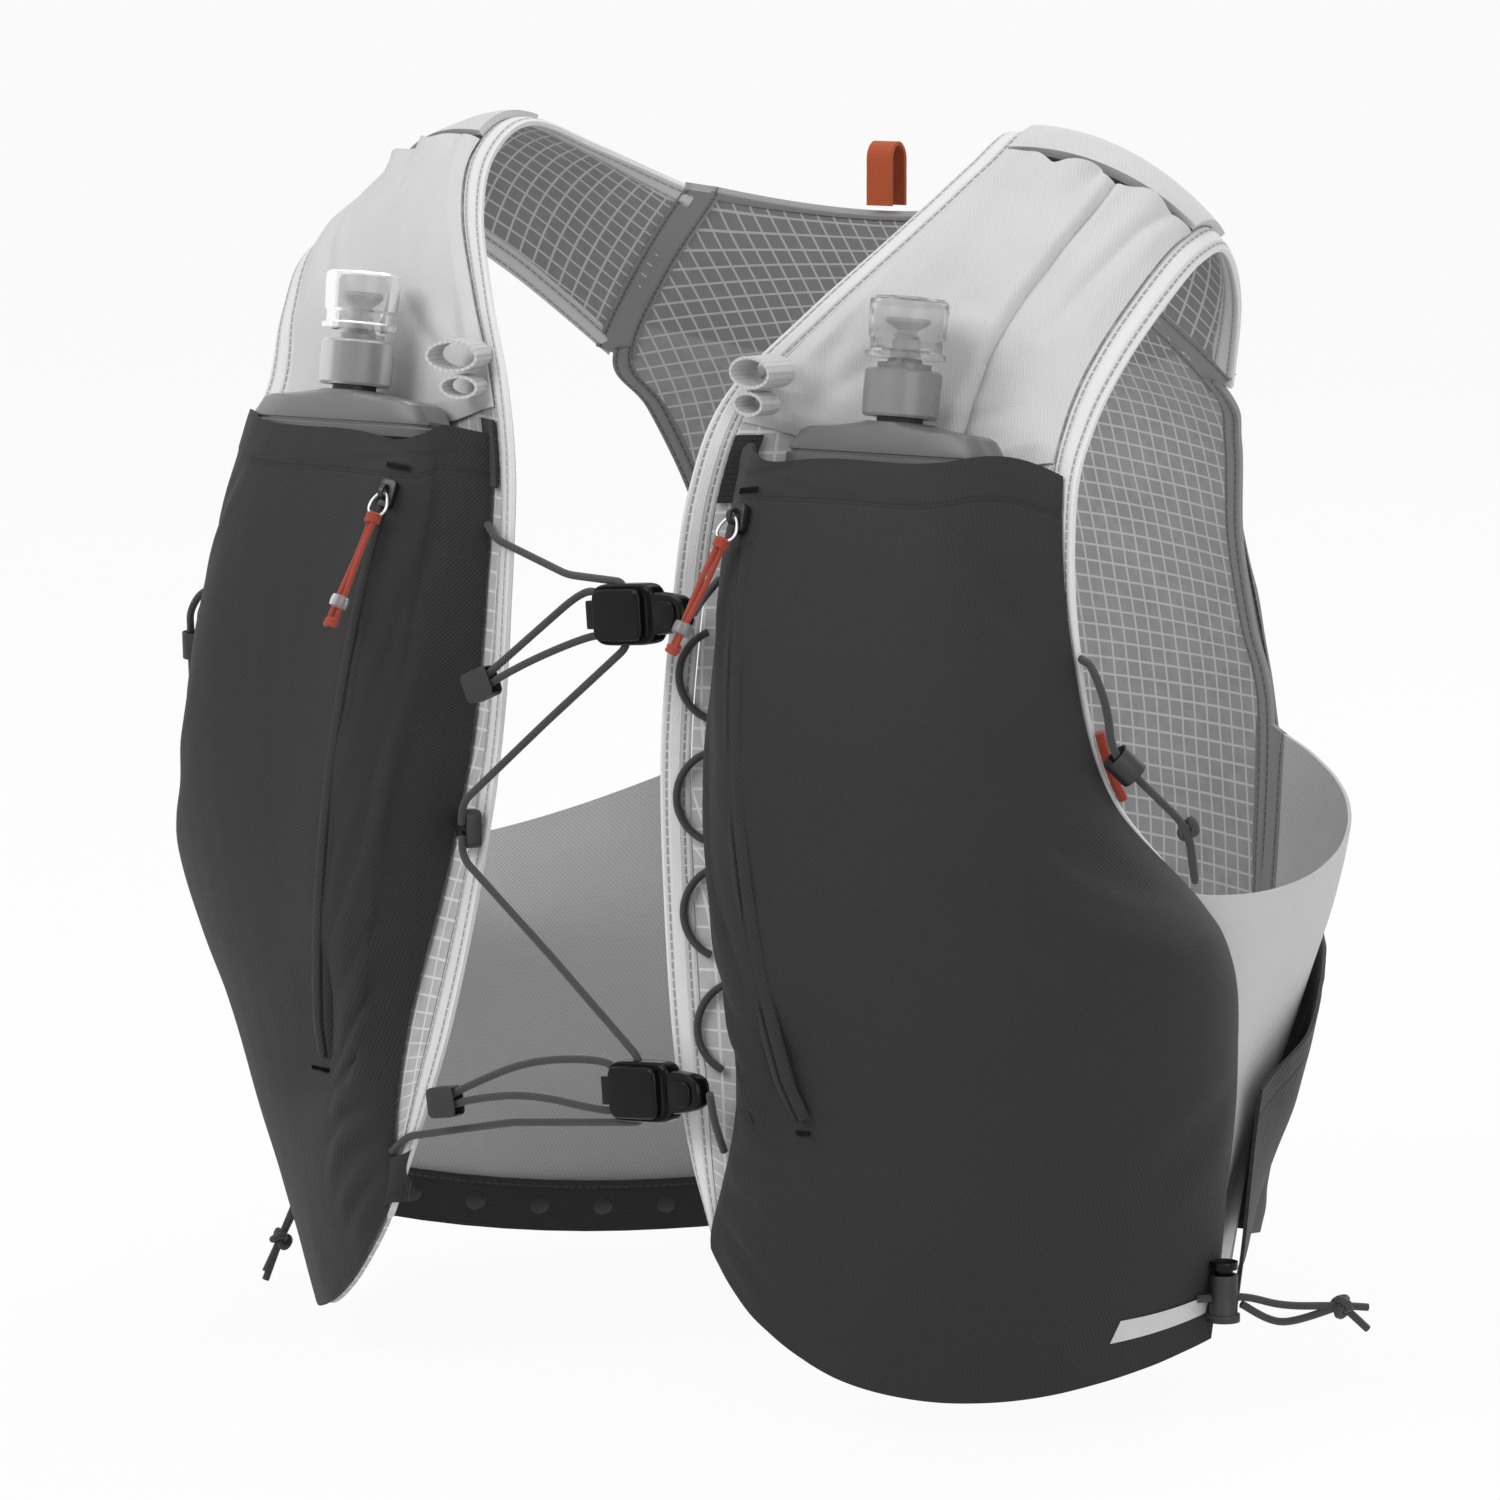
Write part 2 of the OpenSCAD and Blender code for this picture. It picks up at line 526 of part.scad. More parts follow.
module valve_cover() {
    color("white") at_flask() translate([0, 0, valve_z - 3 + slip]) difference() {
        union() {
            cylinder(d = 18, h = cover_h);
            translate([0, 0, 6]) cylinder(d1 = 20, d2 = 26, h = cover_h - 6);
        }
        translate([0, 0, -1]) cylinder(d = 15, h = cover_h - 1);
    }
}

// Front zip slider and its corded pull.
module at_front_zip(t) {
    placed(zip_point(t) + zip_out(t) * (zip_face_r + slip),
        cross(zip_out(t), zip_axis * zip_side), zip_out(t)) children();
}
module zip_slider_body() {
    translate([0, 0, 1.4]) rounded_bar(9, 5.4, 2.8, 1.4);
    translate([0, 0, eye_z]) rotate([90, 0, 0]) difference() {
        cylinder(d = 5.2, h = 1.6, center = true);
        cylinder(d = 3.1, h = 3, center = true);
    }
}
eye_z = 4.1;
ring_r = 4.1;
// A pull hangs from its slider's eye, at the origin: wire ring, cord and bead.
module pull_body(l) {
    translate([0, 0, -ring_r - 0.2]) rotate([90, 0, 0])
        rotate_extrude() translate([ring_r, 0]) circle(0.55);
    translate([0, 0, -12.5]) cylinder(d = 4.4, h = 4.6);
    translate([0, 0, -l]) cylinder(d = 2.8, h = l - 10);
    translate([0, 0, -l * 0.84]) cylinder(d = 6, h = 4.5, center = true);
    translate([0, 0, -l]) sphere(d = 3.4);
}
module zip_slider() {
    color("#404040") at_front_zip(0.03) zip_slider_body();
}
front_pull_at = zip_point(0.03) + zip_out(0.03) * (zip_face_r + slip + eye_z);
front_pull_lean = 26;
module zip_pull(tilt) {
    color("#b04026") translate(front_pull_at)
        rotate([-front_pull_lean, tilt, 0]) pull_body(46);
}
module bag_slider() {
    color("#404040") translate(zip_face + [-zip_half + 8, 0, 1.1 + slip]) zip_slider_body();
}
bag_pull_at = zip_face + [-zip_half + 8, 0, 1.1 + slip + eye_z];
module bag_pull() {
    color("#b04026") translate(bag_pull_at) rotate([0, 88, 0]) rotate([0, 0, 90])
        pull_body(30);
}

// Lacing: cord loops down the wearer's left strap, hooks and locks across to the right.
loop_stations = [4.5, 3.69, 2.95, 2.22];
loop_span = 27;
loop_rad = 14.6;
loop_half = asin(loop_span / 2 / loop_rad);
cord_lift = tape_t / 2 + layer_gap + cord_r;
function pocket_edge(st) = smooth(pocket_neck_in, st);
module lace_loops() {
    color("#303030") for (st = loop_stations) {
        a = on_strap(st, pocket_edge(st) - 3.6, 0, cord_lift);
        b = on_strap(st, 4, 0, cord_lift);
        up = on_strap(st + 0.2, pocket_edge(st), 0, cord_lift) - a;
        placed(a, b - a, up) translate([-loop_rad * cos(loop_half), 0, 0]) rotate([90, 0, 0])
            rotate(-loop_half) rotate_extrude(angle = 2 * loop_half)
                translate([loop_rad, 0]) circle(cord_r);
    }
    color("#303030") {
        lock_link(lock_upper, 5.2);
        lock_link(lock_lower, 1.3);
    }
}

lock_upper = fit([33, -126, 254]);
lock_lower = fit([44, -133, 105]);
bore = cord_d + 0.6;
lock_x = [1, -0.04, 0.08];
button_l = 10;
button_h = 9;
button_t = lock_t - 3;
lock_ex = unit(lock_x);
lock_ez = unit(cross(lock_ex, cross([0, 0, 1], lock_ex)));
module at_lock(at) { placed(at, lock_x, [0, 0, 1]) children(); }
module lace_lock() {
    difference() {
        union() {
            rotate([90, 0, 0]) rounded_bar(lock_l, lock_h, lock_t, 3);
            translate([lock_l / 2 + 2, 0, 0]) cube([8, lock_t - 3, 7], center = true);
            translate([lock_l / 2 + 7, 0, 0]) rotate([90, 0, 0]) difference() {
                cylinder(d = 9, h = lock_t - 3, center = true);
                cylinder(d = bore, h = lock_t, center = true);
                translate([0, -3, 0]) cube([bore - 0.4, 6, lock_t], center = true);
            }
        }
        translate([-lock_l / 2 + 5, 0, 0])
            cube([16 + 2 * button_travel, button_t + 0.6, button_h + 0.6], center = true);
        translate([-2, 0, 0]) cylinder(d = bore, h = lock_h + 2, center = true);
        for (z = [-1, 1]) translate([-lock_l / 2 + 1, 0, z * 6.4]) rotate([0, 90, 0])
            cylinder(d = min(bore, 3), h = 5, center = true);
    }
}
button_end = -lock_l / 2 + 5 + 8 + button_travel - 0.3 - button_travel - 0.2;
module lock_button() {
    l = button_end + lock_l / 2 + 4;
    difference() {
        translate([button_end - l / 2, 0, 0]) cube([l, button_t, button_h], center = true);
        translate([-2 - button_travel / 2, 0, 0])
            cube([bore + button_travel, bore, button_h + 2], center = true);
    }
}
// A short cord ties each lock's eye to the strap beside the pocket.
module lock_link(at, st) {
    e = unit(lock_x);
    eye = at + e * (lock_l / 2 + 7 + 4.5 + 3 * layer_gap + cord_r);
    seat = on_strap(st, pocket_edge(st) - 2.6, 0, cord_lift);
    placed(eye, seat - eye, [0, -1, 0]) rotate([0, 90, 0])
        cylinder(r = cord_r, h = norm(seat - eye));
}
module lace_lock_upper() { color("#1a1a1a") at_lock(lock_upper) lace_lock(); }
module lace_lock_lower() { color("#1a1a1a") at_lock(lock_lower) lace_lock(); }
module lock_button_upper() { color("#303030") at_lock(lock_upper) lock_button(); }
module lock_button_lower() { color("#303030") at_lock(lock_lower) lock_button(); }

keeper_st = 3.35;
keeper_t = 5;
mid_hook = flip_x(on_strap(keeper_st, 3, 1, tape_t / 2 + 1.2 + keeper_t / 2));
keeper_in = flip_x(on_strap(keeper_st, 17, 1, tape_t / 2 + 1.2));
module lace_keeper() {
    color("#1a1a1a") {
        placed(mid_hook, mid_hook - keeper_in, [0, 0, 1]) {
            rotate([90, 0, 0]) difference() {
                rounded_bar(9, 12, keeper_t, 2);
                for (y = [-1, 1]) translate([1, 2.8 * y, 0])
                    cube([bore + 2, bore + 1.4, keeper_t + 1], center = true);
            }
        }
        placed(mix(mid_hook, keeper_in, 0.62), mid_hook - keeper_in, [0, 0, 1])
            cube([8, 1.6, 8], center = true);
    }
}
lace_top_st = 5.52;
lace_low_st = 0.86;
lace_start = flip_x(on_strap(lace_top_st, 15.6, 1, cord_lift));
lace_end = flip_x(on_strap(lace_low_st, 12.6, 1, cord_lift));
lock_bore_u = lock_upper - 2 * lock_ex;
lock_bore_l = lock_lower - 2 * lock_ex;
function in_bore(b, z) = b + lock_ez * z;
module lace_upper() {
    color("#2a2a2a") cord([lace_start, flip_x(on_strap(lace_top_st - 0.1, 4, 1, cord_lift + 1)),
        mix(lace_start, lock_bore_u, 0.6) + [0, -1, 1],
        in_bore(lock_bore_u, lock_h / 2 + 3) - [1, 0, 0], in_bore(lock_bore_u, lock_h / 2),
        in_bore(lock_bore_u, -lock_h / 2), in_bore(lock_bore_u, -lock_h / 2 - 3) - [1, 0, 0],
        mix(lock_bore_u, mid_hook, 0.5) + [0, -1, 0], mid_hook + [1, -5, 9],
        mid_hook + [0, -4.3, 1.8]], [0, 1, 0]);
}
module lace_lower() {
    color("#2a2a2a") cord([mid_hook + [0, -4.3, -1.8], mid_hook + [1, -5, -9],
        mix(lock_bore_l, mid_hook, 0.5) + [0, -1, 0],
        in_bore(lock_bore_l, lock_h / 2 + 3) - [1, 0, 0], in_bore(lock_bore_l, lock_h / 2),
        in_bore(lock_bore_l, -lock_h / 2), in_bore(lock_bore_l, -lock_h / 2 - 3) - [1, 0, 0],
        mix(lock_bore_l, lace_end, 0.5) + [0, -1, 0],
        flip_x(on_strap(lace_low_st, 3, 1, cord_lift + 0.4)), lace_end], [0, 1, 0]);
}
tail_u = fit([-26, -126, 228]);
tail_l = fit([-36, -133, 93]);
module tail_cord(at, stop, rise) {
    a = at - lock_ex * lock_l / 2;
    up = [a + lock_ex * 1.5 + lock_ez * 6.4, a - lock_ex * 6 + lock_ez * (7 + rise / 3),
        mix(a, stop, 0.5) + [0, -1, 3.6 + rise], mix(a, stop, 0.85) + [0, 0, 2 + rise * 0.4],
        stop + [0, 0, 1.7]];
    down = [stop + [0, 0, -1.7], mix(a, stop, 0.85) + [0, 0, -2 + rise * 0.3],
        mix(a, stop, 0.5) + [0, -1, -4 + rise * 0.6], a - lock_ex * 6 - lock_ez * 7,
        a + lock_ex * 1.5 - lock_ez * 6.4];
    cord(concat(up, [stop + unit(stop - a) * 1.7], down), [0, 1, 0]);
}
module tail_cord_upper() { color("#2a2a2a") tail_cord(lock_upper, tail_u, 3); }
module tail_cord_lower() { color("#2a2a2a") tail_cord(lock_lower, tail_l, 8); }
module cord_end(at, x) {
    placed(at, x, [0, 0, 1]) difference() {
        translate([1, 0, 0]) rotate([90, 0, 0]) rounded_bar(11, 9.8, 5.4, 2);
        translate([-1.2, 0, 0]) cube([10.4, bore + 1.6, 8.4], center = true);
    }
}
module cord_end_upper() { color("#1a1a1a") cord_end(tail_u, tail_u - lock_upper); }
module cord_end_lower() { color("#1a1a1a") cord_end(tail_l, tail_l - lock_lower); }

// Elastic side cords: out of the arm edge, through a bead, ends tied together.
side_st = [4.9, 4.9];
side_out = [[14, 3, -32], [14, 3, -20]];
side_drop = [[13, 16, -20], [1, 2, -24]];
function side_exit(k) = at_arm(side_st[k], -0.35, k, 0);
function side_bead_at(k) = side_exit(k) + side_out[k];
function side_knot(k) = side_bead_at(k) + side_drop[k];
module side_cord(k) {
    e = side_exit(k);
    b = side_bead_at(k);
    d = unit(side_drop[k]);
    cord(looped([e, e + [5, -2, -1], e + side_out[k] * 0.55 + [3, -3, 3], b - d * 6, b + d * 6,
        side_knot(k), side_knot(k) + [1, 2, -15]], [2.2, -2.8, 0]), [0.8, 0.6, 0.1]);
}
module side_bead(k) {
    placed(side_bead_at(k) + [1.1, -1.4, 0], side_drop[k], [2.2, -2.8, 0])
        difference() {
            rotate([0, 90, 0]) cylinder(d = 9.4, h = 9, center = true);
            cube([10, bore, 7.4], center = true);
        }
}

// Hem cords with a barrel lock each.
hem_st = 0.5;
function hem_at(k) = at_arm(hem_st, 2, k, 0) + [barrel_d / 2 + (k == 0 ? 4.3 : 5.2), -3.9, 0];
barrel_h = 15;
hem_run = unit([0.62, 0.78, 0]);
hem_fall_left = [24, 32, -5];
hem_fall_right = [12, -13, -24];
module hem_cord(k) {
    hem_at = hem_at(k);
    stop = hem_at + (k == 0 ? hem_fall_left : hem_fall_right);
    cord([hem_at - hem_run * 8.5, hem_at, hem_at + hem_run * 8, mix(hem_at, stop, 0.5)
        + [0, 0, stop[2] < hem_at[2] - 20 ? 9 : -1.5], stop,
        stop + unit(stop - hem_at) * 9 + [0, 0, stop[2] < hem_at[2] - 20 ? -4 : 0]],
        [0.1, -0.1, 1]);
}
module hem_lock(k) {
    translate(hem_at(k)) difference() {
        union() {
            translate([0, 0, -barrel_h / 2]) cylinder(d = barrel_d, h = barrel_h);
            translate([0, 0, -barrel_h / 2]) cylinder(d = barrel_d + 1.6, h = 2.4);
        }
        translate([0, 0, -barrel_h / 2 + 2.5]) cylinder(d = barrel_d - 2.4, h = barrel_h);
        placed([0, 0, 0], hem_run, [0, 0, 1]) rotate([0, 90, 0])
            cylinder(d = bore, h = 20, center = true);
    }
}
module hem_plunger(k) {
    translate(hem_at(k)) difference() {
        union() {
            translate([0, 0, -barrel_h / 2 + 2.8 + button_travel])
                cylinder(d = barrel_d - 3, h = barrel_h - 0.5 - button_travel);
            translate([0, 0, barrel_h / 2 + button_travel + 0.3])
                cylinder(d = barrel_d, h = 2.4);
        }
        placed([0, 0, button_travel / 2], hem_run, [0, 0, 1])
            cube([20, bore, bore + button_travel], center = true);
    }
}

// Keepers, tabs and the small cord pull at the wearer's left side.
module keeper(x, y, z) {
    translate(fit([x, y, z])) rotate([0, 0, -12]) rotate([0, 90, 90]) rotate([0, 0, 90])
        linear_extrude(height = 11, center = true) difference() {
            scale([1, 0.55]) circle(9.4);
            scale([1, 0.5]) circle(8);
        }
}
module flask_keepers() {
    color("silver") {
        keeper_at = [60.6, -94.4, 331];
        keeper(keeper_at[0], keeper_at[1], keeper_at[2]);
        mirrored() keeper(keeper_at[0], keeper_at[1], keeper_at[2]);
    }
}
module pocket_tab(st, k, w) {
    lift = tape_t / 2 + 0.8;
    a = on_strap(st, tape_in + w / 2, k, lift);
    placed(a, on_strap(st, tape_in + w, k, lift) - a,
        on_strap(st + 0.2, tape_in + w / 2, k, lift) - a) cube([w, 1, 20], center = true);
}
module pocket_tabs() {
    color("#202020") {
        pocket_tab(6.1, 0, 3.2);
        mirrored() pocket_tab(6.1, 1, 3.2);
    }
}
module side_pull() {
    color("#b04026")
        cord([for (st = [4.42, 4.3, 4.18, 4.06, 3.96]) at_arm(st, -2.3, 0, -0.6)], [1, 0, 0], 1.5);
}

back_panel();
back_pad();
back_tape();
bag_shell();
bag_zip();
bladder_sleeve();
rear_pocket();
hem_band();
hang_loop();
harness(0);  // harness_left
mirrored() harness(1);  // harness_right
strap_tape(0);  // strap_tape_left
mirrored() strap_tape(1);  // strap_tape_right
shoulder_overlay(0);  // shoulder_overlay_left
mirrored() shoulder_overlay(1);  // shoulder_overlay_right
front_pocket(0);  // front_pocket_left
mirrored() front_pocket(1);  // front_pocket_right
front_zip();  // front_zip_left
mirrored() front_zip();  // front_zip_right
pocket_tabs();
flask_keepers();
color("silver") side_wing(wing_rows_left, 0);  // side_wing_left
color("silver") mirrored() side_wing(wing_rows_right, 1);  // side_wing_right
flask();  // flask_left
mirrored() flask();  // flask_right
flask_cap();  // flask_cap_left
mirrored() flask_cap();  // flask_cap_right
bite_valve();  // bite_valve_left
mirrored() bite_valve();  // bite_valve_right
valve_cover();  // valve_cover_left
mirrored() valve_cover();  // valve_cover_right
zip_slider();  // zip_slider_left
mirrored() zip_slider();  // zip_slider_right
zip_pull(12);  // zip_pull_left
mirrored() zip_pull(-8);  // zip_pull_right
bag_slider();
bag_pull();
lace_loops();
lace_keeper();
lace_upper();
lace_lower();
lace_lock_upper();
lace_lock_lower();
lock_button_upper();
lock_button_lower();
tail_cord_upper();
tail_cord_lower();
cord_end_upper();
cord_end_lower();
color("#2a2a2a") side_cord(0);  // side_cord_left
color("#2a2a2a") mirrored() side_cord(1);  // side_cord_right
color("#1a1a1a") side_bead(0);  // side_bead_left
color("#1a1a1a") mirrored() side_bead(1);  // side_bead_right
color("#2a2a2a") hem_cord(0);  // hem_cord_left
color("#2a2a2a") mirrored() hem_cord(1);  // hem_cord_right
color("#1a1a1a") hem_lock(0);  // hem_lock_left
color("#1a1a1a") mirrored() hem_lock(1);  // hem_lock_right
color("#303030") hem_plunger(0);  // hem_plunger_left
color("#303030") mirrored() hem_plunger(1);  // hem_plunger_right
side_pull();
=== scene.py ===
"""Running hydration vest: fabrics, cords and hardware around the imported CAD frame."""
import math
import bpy
import bmesh
import numpy as np
from mathutils import Matrix, Vector


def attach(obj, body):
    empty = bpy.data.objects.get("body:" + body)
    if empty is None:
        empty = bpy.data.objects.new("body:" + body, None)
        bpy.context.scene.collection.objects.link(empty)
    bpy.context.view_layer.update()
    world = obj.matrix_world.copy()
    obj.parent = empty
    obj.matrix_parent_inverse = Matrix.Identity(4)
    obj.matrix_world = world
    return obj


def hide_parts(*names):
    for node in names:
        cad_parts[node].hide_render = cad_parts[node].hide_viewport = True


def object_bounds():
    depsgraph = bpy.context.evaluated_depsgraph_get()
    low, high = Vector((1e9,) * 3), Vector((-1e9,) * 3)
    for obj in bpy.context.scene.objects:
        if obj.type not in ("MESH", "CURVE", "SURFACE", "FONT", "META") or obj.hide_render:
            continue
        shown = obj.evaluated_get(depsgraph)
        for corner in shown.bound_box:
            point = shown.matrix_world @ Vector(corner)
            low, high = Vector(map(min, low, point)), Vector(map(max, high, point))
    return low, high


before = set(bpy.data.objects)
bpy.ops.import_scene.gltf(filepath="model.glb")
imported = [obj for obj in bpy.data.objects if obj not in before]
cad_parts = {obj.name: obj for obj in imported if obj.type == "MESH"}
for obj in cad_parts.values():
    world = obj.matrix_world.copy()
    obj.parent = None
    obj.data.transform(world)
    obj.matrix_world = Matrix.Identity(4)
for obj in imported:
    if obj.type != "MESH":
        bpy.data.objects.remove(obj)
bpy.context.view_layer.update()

MM = 0.001
SIDES = ("left", "right")
scene = bpy.context.scene
scene.view_settings.view_transform = "Standard"
sin, cos, pi = math.sin, math.cos, math.pi

# ---------------------------------------------------------------- camera
AZ, EL, DIST, FOCAL = math.radians(36), math.radians(6.5), 2300, 6970.7
RIGHT = Vector((cos(AZ), sin(AZ), 0))
BACK = Vector((sin(AZ) * cos(EL), -cos(AZ) * cos(EL), sin(EL)))
UP = BACK.cross(RIGHT)
TARGET = Vector((0, 0, 234))
aim = -BACK + RIGHT * (-32.7 / FOCAL) + UP * (-116.4 / FOCAL)
cam = bpy.data.objects.new("camera", bpy.data.cameras.new("camera"))
scene.collection.objects.link(cam)
cam.data.sensor_width = 36
cam.data.lens = FOCAL / 1500 * 36
cam.data.clip_end = 50
back = -aim.normalized()
right = UP.cross(back).normalized()
turn = Matrix((right, back.cross(right), back)).transposed()
cam.matrix_world = Matrix.Translation((TARGET + BACK * DIST) * MM) @ turn.to_4x4()
scene.camera = cam

# ---------------------------------------------------------------- numbers shared with the CAD
HARNESS = np.array([
    [[64, -124, 58], [85, -127, 14], [142, -108, -6], [179, -18, 24]],
    [[54, -123, 84], [90, -120, 56], [152, -88, 48], [181, -15, 60]],
    [[46, -121, 116], [88, -108, 112], [152, -88, 112], [183, -13, 116]],
    [[39, -117, 162], [85, -94, 163], [158, -92, 162], [184, -26, 158]],
    [[34, -112, 210], [80, -83, 210], [147, -87, 209], [177, -71, 203]],
    [[34, -106, 255], [75, -76, 255], [141, -77, 254], [172, -83, 250]],
    [[36, -100, 291], [73, -72, 292], [131, -66, 293], [166, -76, 292]],
    [[44, -92, 320], [80, -68, 321], [130, -56, 320], [162, -60, 314]],
    [[62, -75, 345], [90, -60, 347], [134, -48, 346], [164, -44, 334]],
    [[82, -52, 371], [106, -44, 374], [141, -33, 369], [168, -25, 353]],
    [[94, -32, 390], [116, -26, 393], [145, -15, 385], [166, -4, 363]],
    [[95, -11, 400], [118, -5, 403], [144, 6, 392], [162, 16, 364]],
    [[86, 14, 391], [108, 24, 390], [134, 36, 376], [149, 44, 346]],
    [[64, 40, 376], [86, 51, 358], [110, 64, 335], [127.5, 74, 316]]], float)
SLACK = np.array([
    [0, -5, -14, -12], [0, -3, -11, -11], [-2, -1, -6, -6], [-4, 0, -4, -4], [-4, 0, -5, -5],
    [-3, 0, -4, -3], [-2, 0, -2, 0], [-1, 3, 5, 7], [0, 6, 10, 13], [2, 8, 13, 14],
    [1, 5, 8, 6], [0, 2, 2, 1], [0, 0, 0, 0], [0, 0, 0, 0]], float)
STRAPS = [HARNESS, HARNESS + SLACK[:, :, None] * np.array([1, 0, 0])]
WINGS = [np.array([
    [[180, -13, 24], [153, 28, 34], [124, 76, 30], [101, 117, 12]],
    [[182, -11, 60], [158, 28, 60], [129, 78, 56], [105, 123, 50]],
    [[184.5, -10, 100], [178, 33, 100], [146, 86, 98], [109, 125, 98]],
    [[186, -11, 138], [192, 36, 138], [166, 100, 142], [113, 123, 150]],
    [[184, -22, 168], [198, 28, 158], [184, 108, 176], [119, 115, 200]]], float),
    np.array([
    [[181, -13, 14], [153, 30, 4], [123, 78, 3], [101, 117, 6]],
    [[182, -11, 50], [156, 30, 40], [127, 78, 42], [105, 123, 46]],
    [[184.5, -10, 92], [170, 33, 78], [138, 84, 80], [107.5, 124.5, 88]],
    [[186, -11, 128], [178, 34, 108], [147, 90, 112], [111, 124, 128]],
    [[184, -20, 158], [192, 28, 134], [176, 104, 146], [117, 117, 172]]], float)]
WING_SEAM = [[0, 1, 1.71, 2.52, 3.22], [0, 0.72, 1.57, 2.29, 3]]
BACK_ROWS = np.array([
    [100, 118, 6, 132, 4], [104, 124, 50, 138, 48], [108, 126, 100, 142, 100],
    [112, 124, 150, 142, 155], [118, 116, 206, 136, 208], [113, 112, 235, 128, 241],
    [114, 102, 265, 118, 273], [122, 88, 297, 103, 308], [126, 73, 315, 91, 328],
    [98, 58, 346, 74, 351], [62, 41, 376, 59, 369]], float)
BAG = np.array([
    [[70, 134, 14], [52, 140, 12], [30, 143, 10], [0, 143, 10]],
    [[78, 137, 50], [70, 147, 48], [40, 154, 46], [0, 155, 46]],
    [[106, 135, 106], [96, 168, 105], [48, 184, 104], [0, 186, 104]],
    [[111, 129, 188], [98, 162, 189], [48, 178, 190], [0, 180, 190]],
    [[105, 117, 258], [92, 140, 260], [46, 152, 262], [0, 154, 262]],
    [[100, 104, 299], [84, 124, 308], [56, 128, 312], [0, 128, 312]]], float)
REAR = np.array([
    [[183, -9, 30], [159, 33, 37], [133, 78, 35], [110, 117, 28], [60, 148, 20], [0, 153, 18]],
    [[185, -7, 54], [164, 34, 58], [136, 80, 57], [112, 123, 52], [64, 162, 46], [0, 167, 44]],
    [[187, -5, 84], [176, 36, 90], [146, 87, 96], [115, 130, 98], [68, 182, 98], [0, 196, 98]],
    [[189, -4, 102], [182, 38, 118], [153, 92, 132], [118, 136, 144], [68, 180, 156],
     [0, 194, 158]]], float)
PANEL, STRETCH, PAD, TAPE_W, TAPE_T, GAP = 1.6, 1.2, 4, 9.5, 3, 0.3
HEM_H, ZIP_W, CORD_D = 18, 7, 2.5
CORD_R, KNOT_SIZE = CORD_D / 2, 1.0625
FLASK_W, FLASK_T, FLASK_L, CAP_H, COVER_H = 76, 23, 168, 19, 19
FLASK_AT, FLASK_LEAN = np.array([109, -114.5, 144]), 8.6
LOCK_L, LOCK_H, LOCK_T = 25, 17, 8
TAPE_IN = TAPE_W + 0.5
PAD_TOP = PANEL / 2 + 1.2 + PAD
POCKET_TOPS = [6.56, 6.32, 6.1, 6.05, 6.22]
ARM_IN = [0.6, 0.6, 0.6, 1, 1.5, 2, 5, 9]
NECK_IN = [2, 15, 21, 19, 18, 17, 16, 14]
RISE = [0, 14, 30, 39.4, 40, 38.4, 33.4, 25.6]
POCKET_LIFT = TAPE_T / 2 + GAP + 0.4
ZIP_AT, ZIP_REACH, ZIP_FACE = 0.25, 0.2, STRETCH + 2.7
YOKE = 8
WING_END = 0.982
ARM_TAPE_FROM = 3.5
OVERLAY_TOP, SEAM_STEP = 10.2, 0.16
LOOP_H, LOOP_T = 22, 9

# Creases in millimetres of cloth: from x, y to x, y, width and depth.
SHOULDER_FOLDS = [
    (12, 110, 24, 60, 5, 0.5), (28, 66, 10, 24, 4.5, 0.8), (54, 126, 50, 60, 3.0, 1.3),
    (20, 120, 33, 96, 3.2, 0.4), (48, 30, 34, 18, 4, 0.6), (6, 60, 14, 20, 3.5, 0.8)]
POCKET_FOLDS = [
    (8, 235, 22, 150, 5, 1.6), (4, 60, 34, 34, 4, 2.2), (4, 44, 40, 22, 4.5, 2.2),
    (10, 80, 24, 50, 4, 1.2), (96, 250, 112, 225, 4, 1.2), (6, 120, 24, 90, 4, 1.0),
    (100, 190, 116, 150, 5, 0.8), (96, 60, 116, 86, 6, 1.0), (6, 96, 30, 62, 3.0, 1.8),
    (14, 72, 38, 50, 3.4, 1.7), (5, 30, 44, 12, 5, 1.4), (10, 200, 20, 130, 3.2, 1.3),
    (16, 150, 26, 108, 2.8, 1.1)]
BAG_FOLDS = [
    (-120, 250, -60, 160, 9, 2.4), (120, 240, 50, 150, 9, 2.4), (-30, 270, 10, 190, 8, 1.6),
    (-90, 120, -20, 60, 8, 2.0), (100, 110, 30, 50, 8, 1.8), (60, 280, 90, 200, 6, 1.6)]
REAR_FOLDS = [
    (-150, 100, -110, 30, 8, 1.6), (150, 100, 100, 20, 8, 1.6), (-60, 116, -40, 60, 7, 1.2),
    (70, 116, 30, 50, 7, 1.2)]


# ---------------------------------------------------------------- curves and surfaces
def unit(v):
    v = np.asarray(v, float)
    return v / np.maximum(np.linalg.norm(v, axis=-1, keepdims=True), 1e-12)


def catmull(a, b, c, d, t):
    """The Catmull-Rom curve from b to c, at t."""
    return (b + 0.5 * t * (c - a) + t * t * (a - 2.5 * b + 2 * c - 0.5 * d)
            + t ** 3 * (1.5 * (b - c) + 0.5 * (d - a)))


def smooth(p, s):
    """A smooth curve through the rows p, at s."""
    p, s = np.asarray(p, float), np.asarray(s, float)
    n = len(p) - 1
    i = np.clip(np.floor(s).astype(int), 0, n - 1)
    t = (s - i).reshape(s.shape + (1,) * (p.ndim - 1))
    return catmull(p[np.maximum(i - 1, 0)], p[i], p[i + 1], p[np.minimum(i + 2, n)], t)


def bez(p, t):
    t = np.asarray(t, float)[..., None]
    return ((1 - t) ** 3 * p[..., 0, :] + 3 * (1 - t) ** 2 * t * p[..., 1, :]
            + 3 * (1 - t) * t * t * p[..., 2, :] + t ** 3 * p[..., 3, :])


def clamp(x):
    return np.clip(x, 0, 1)


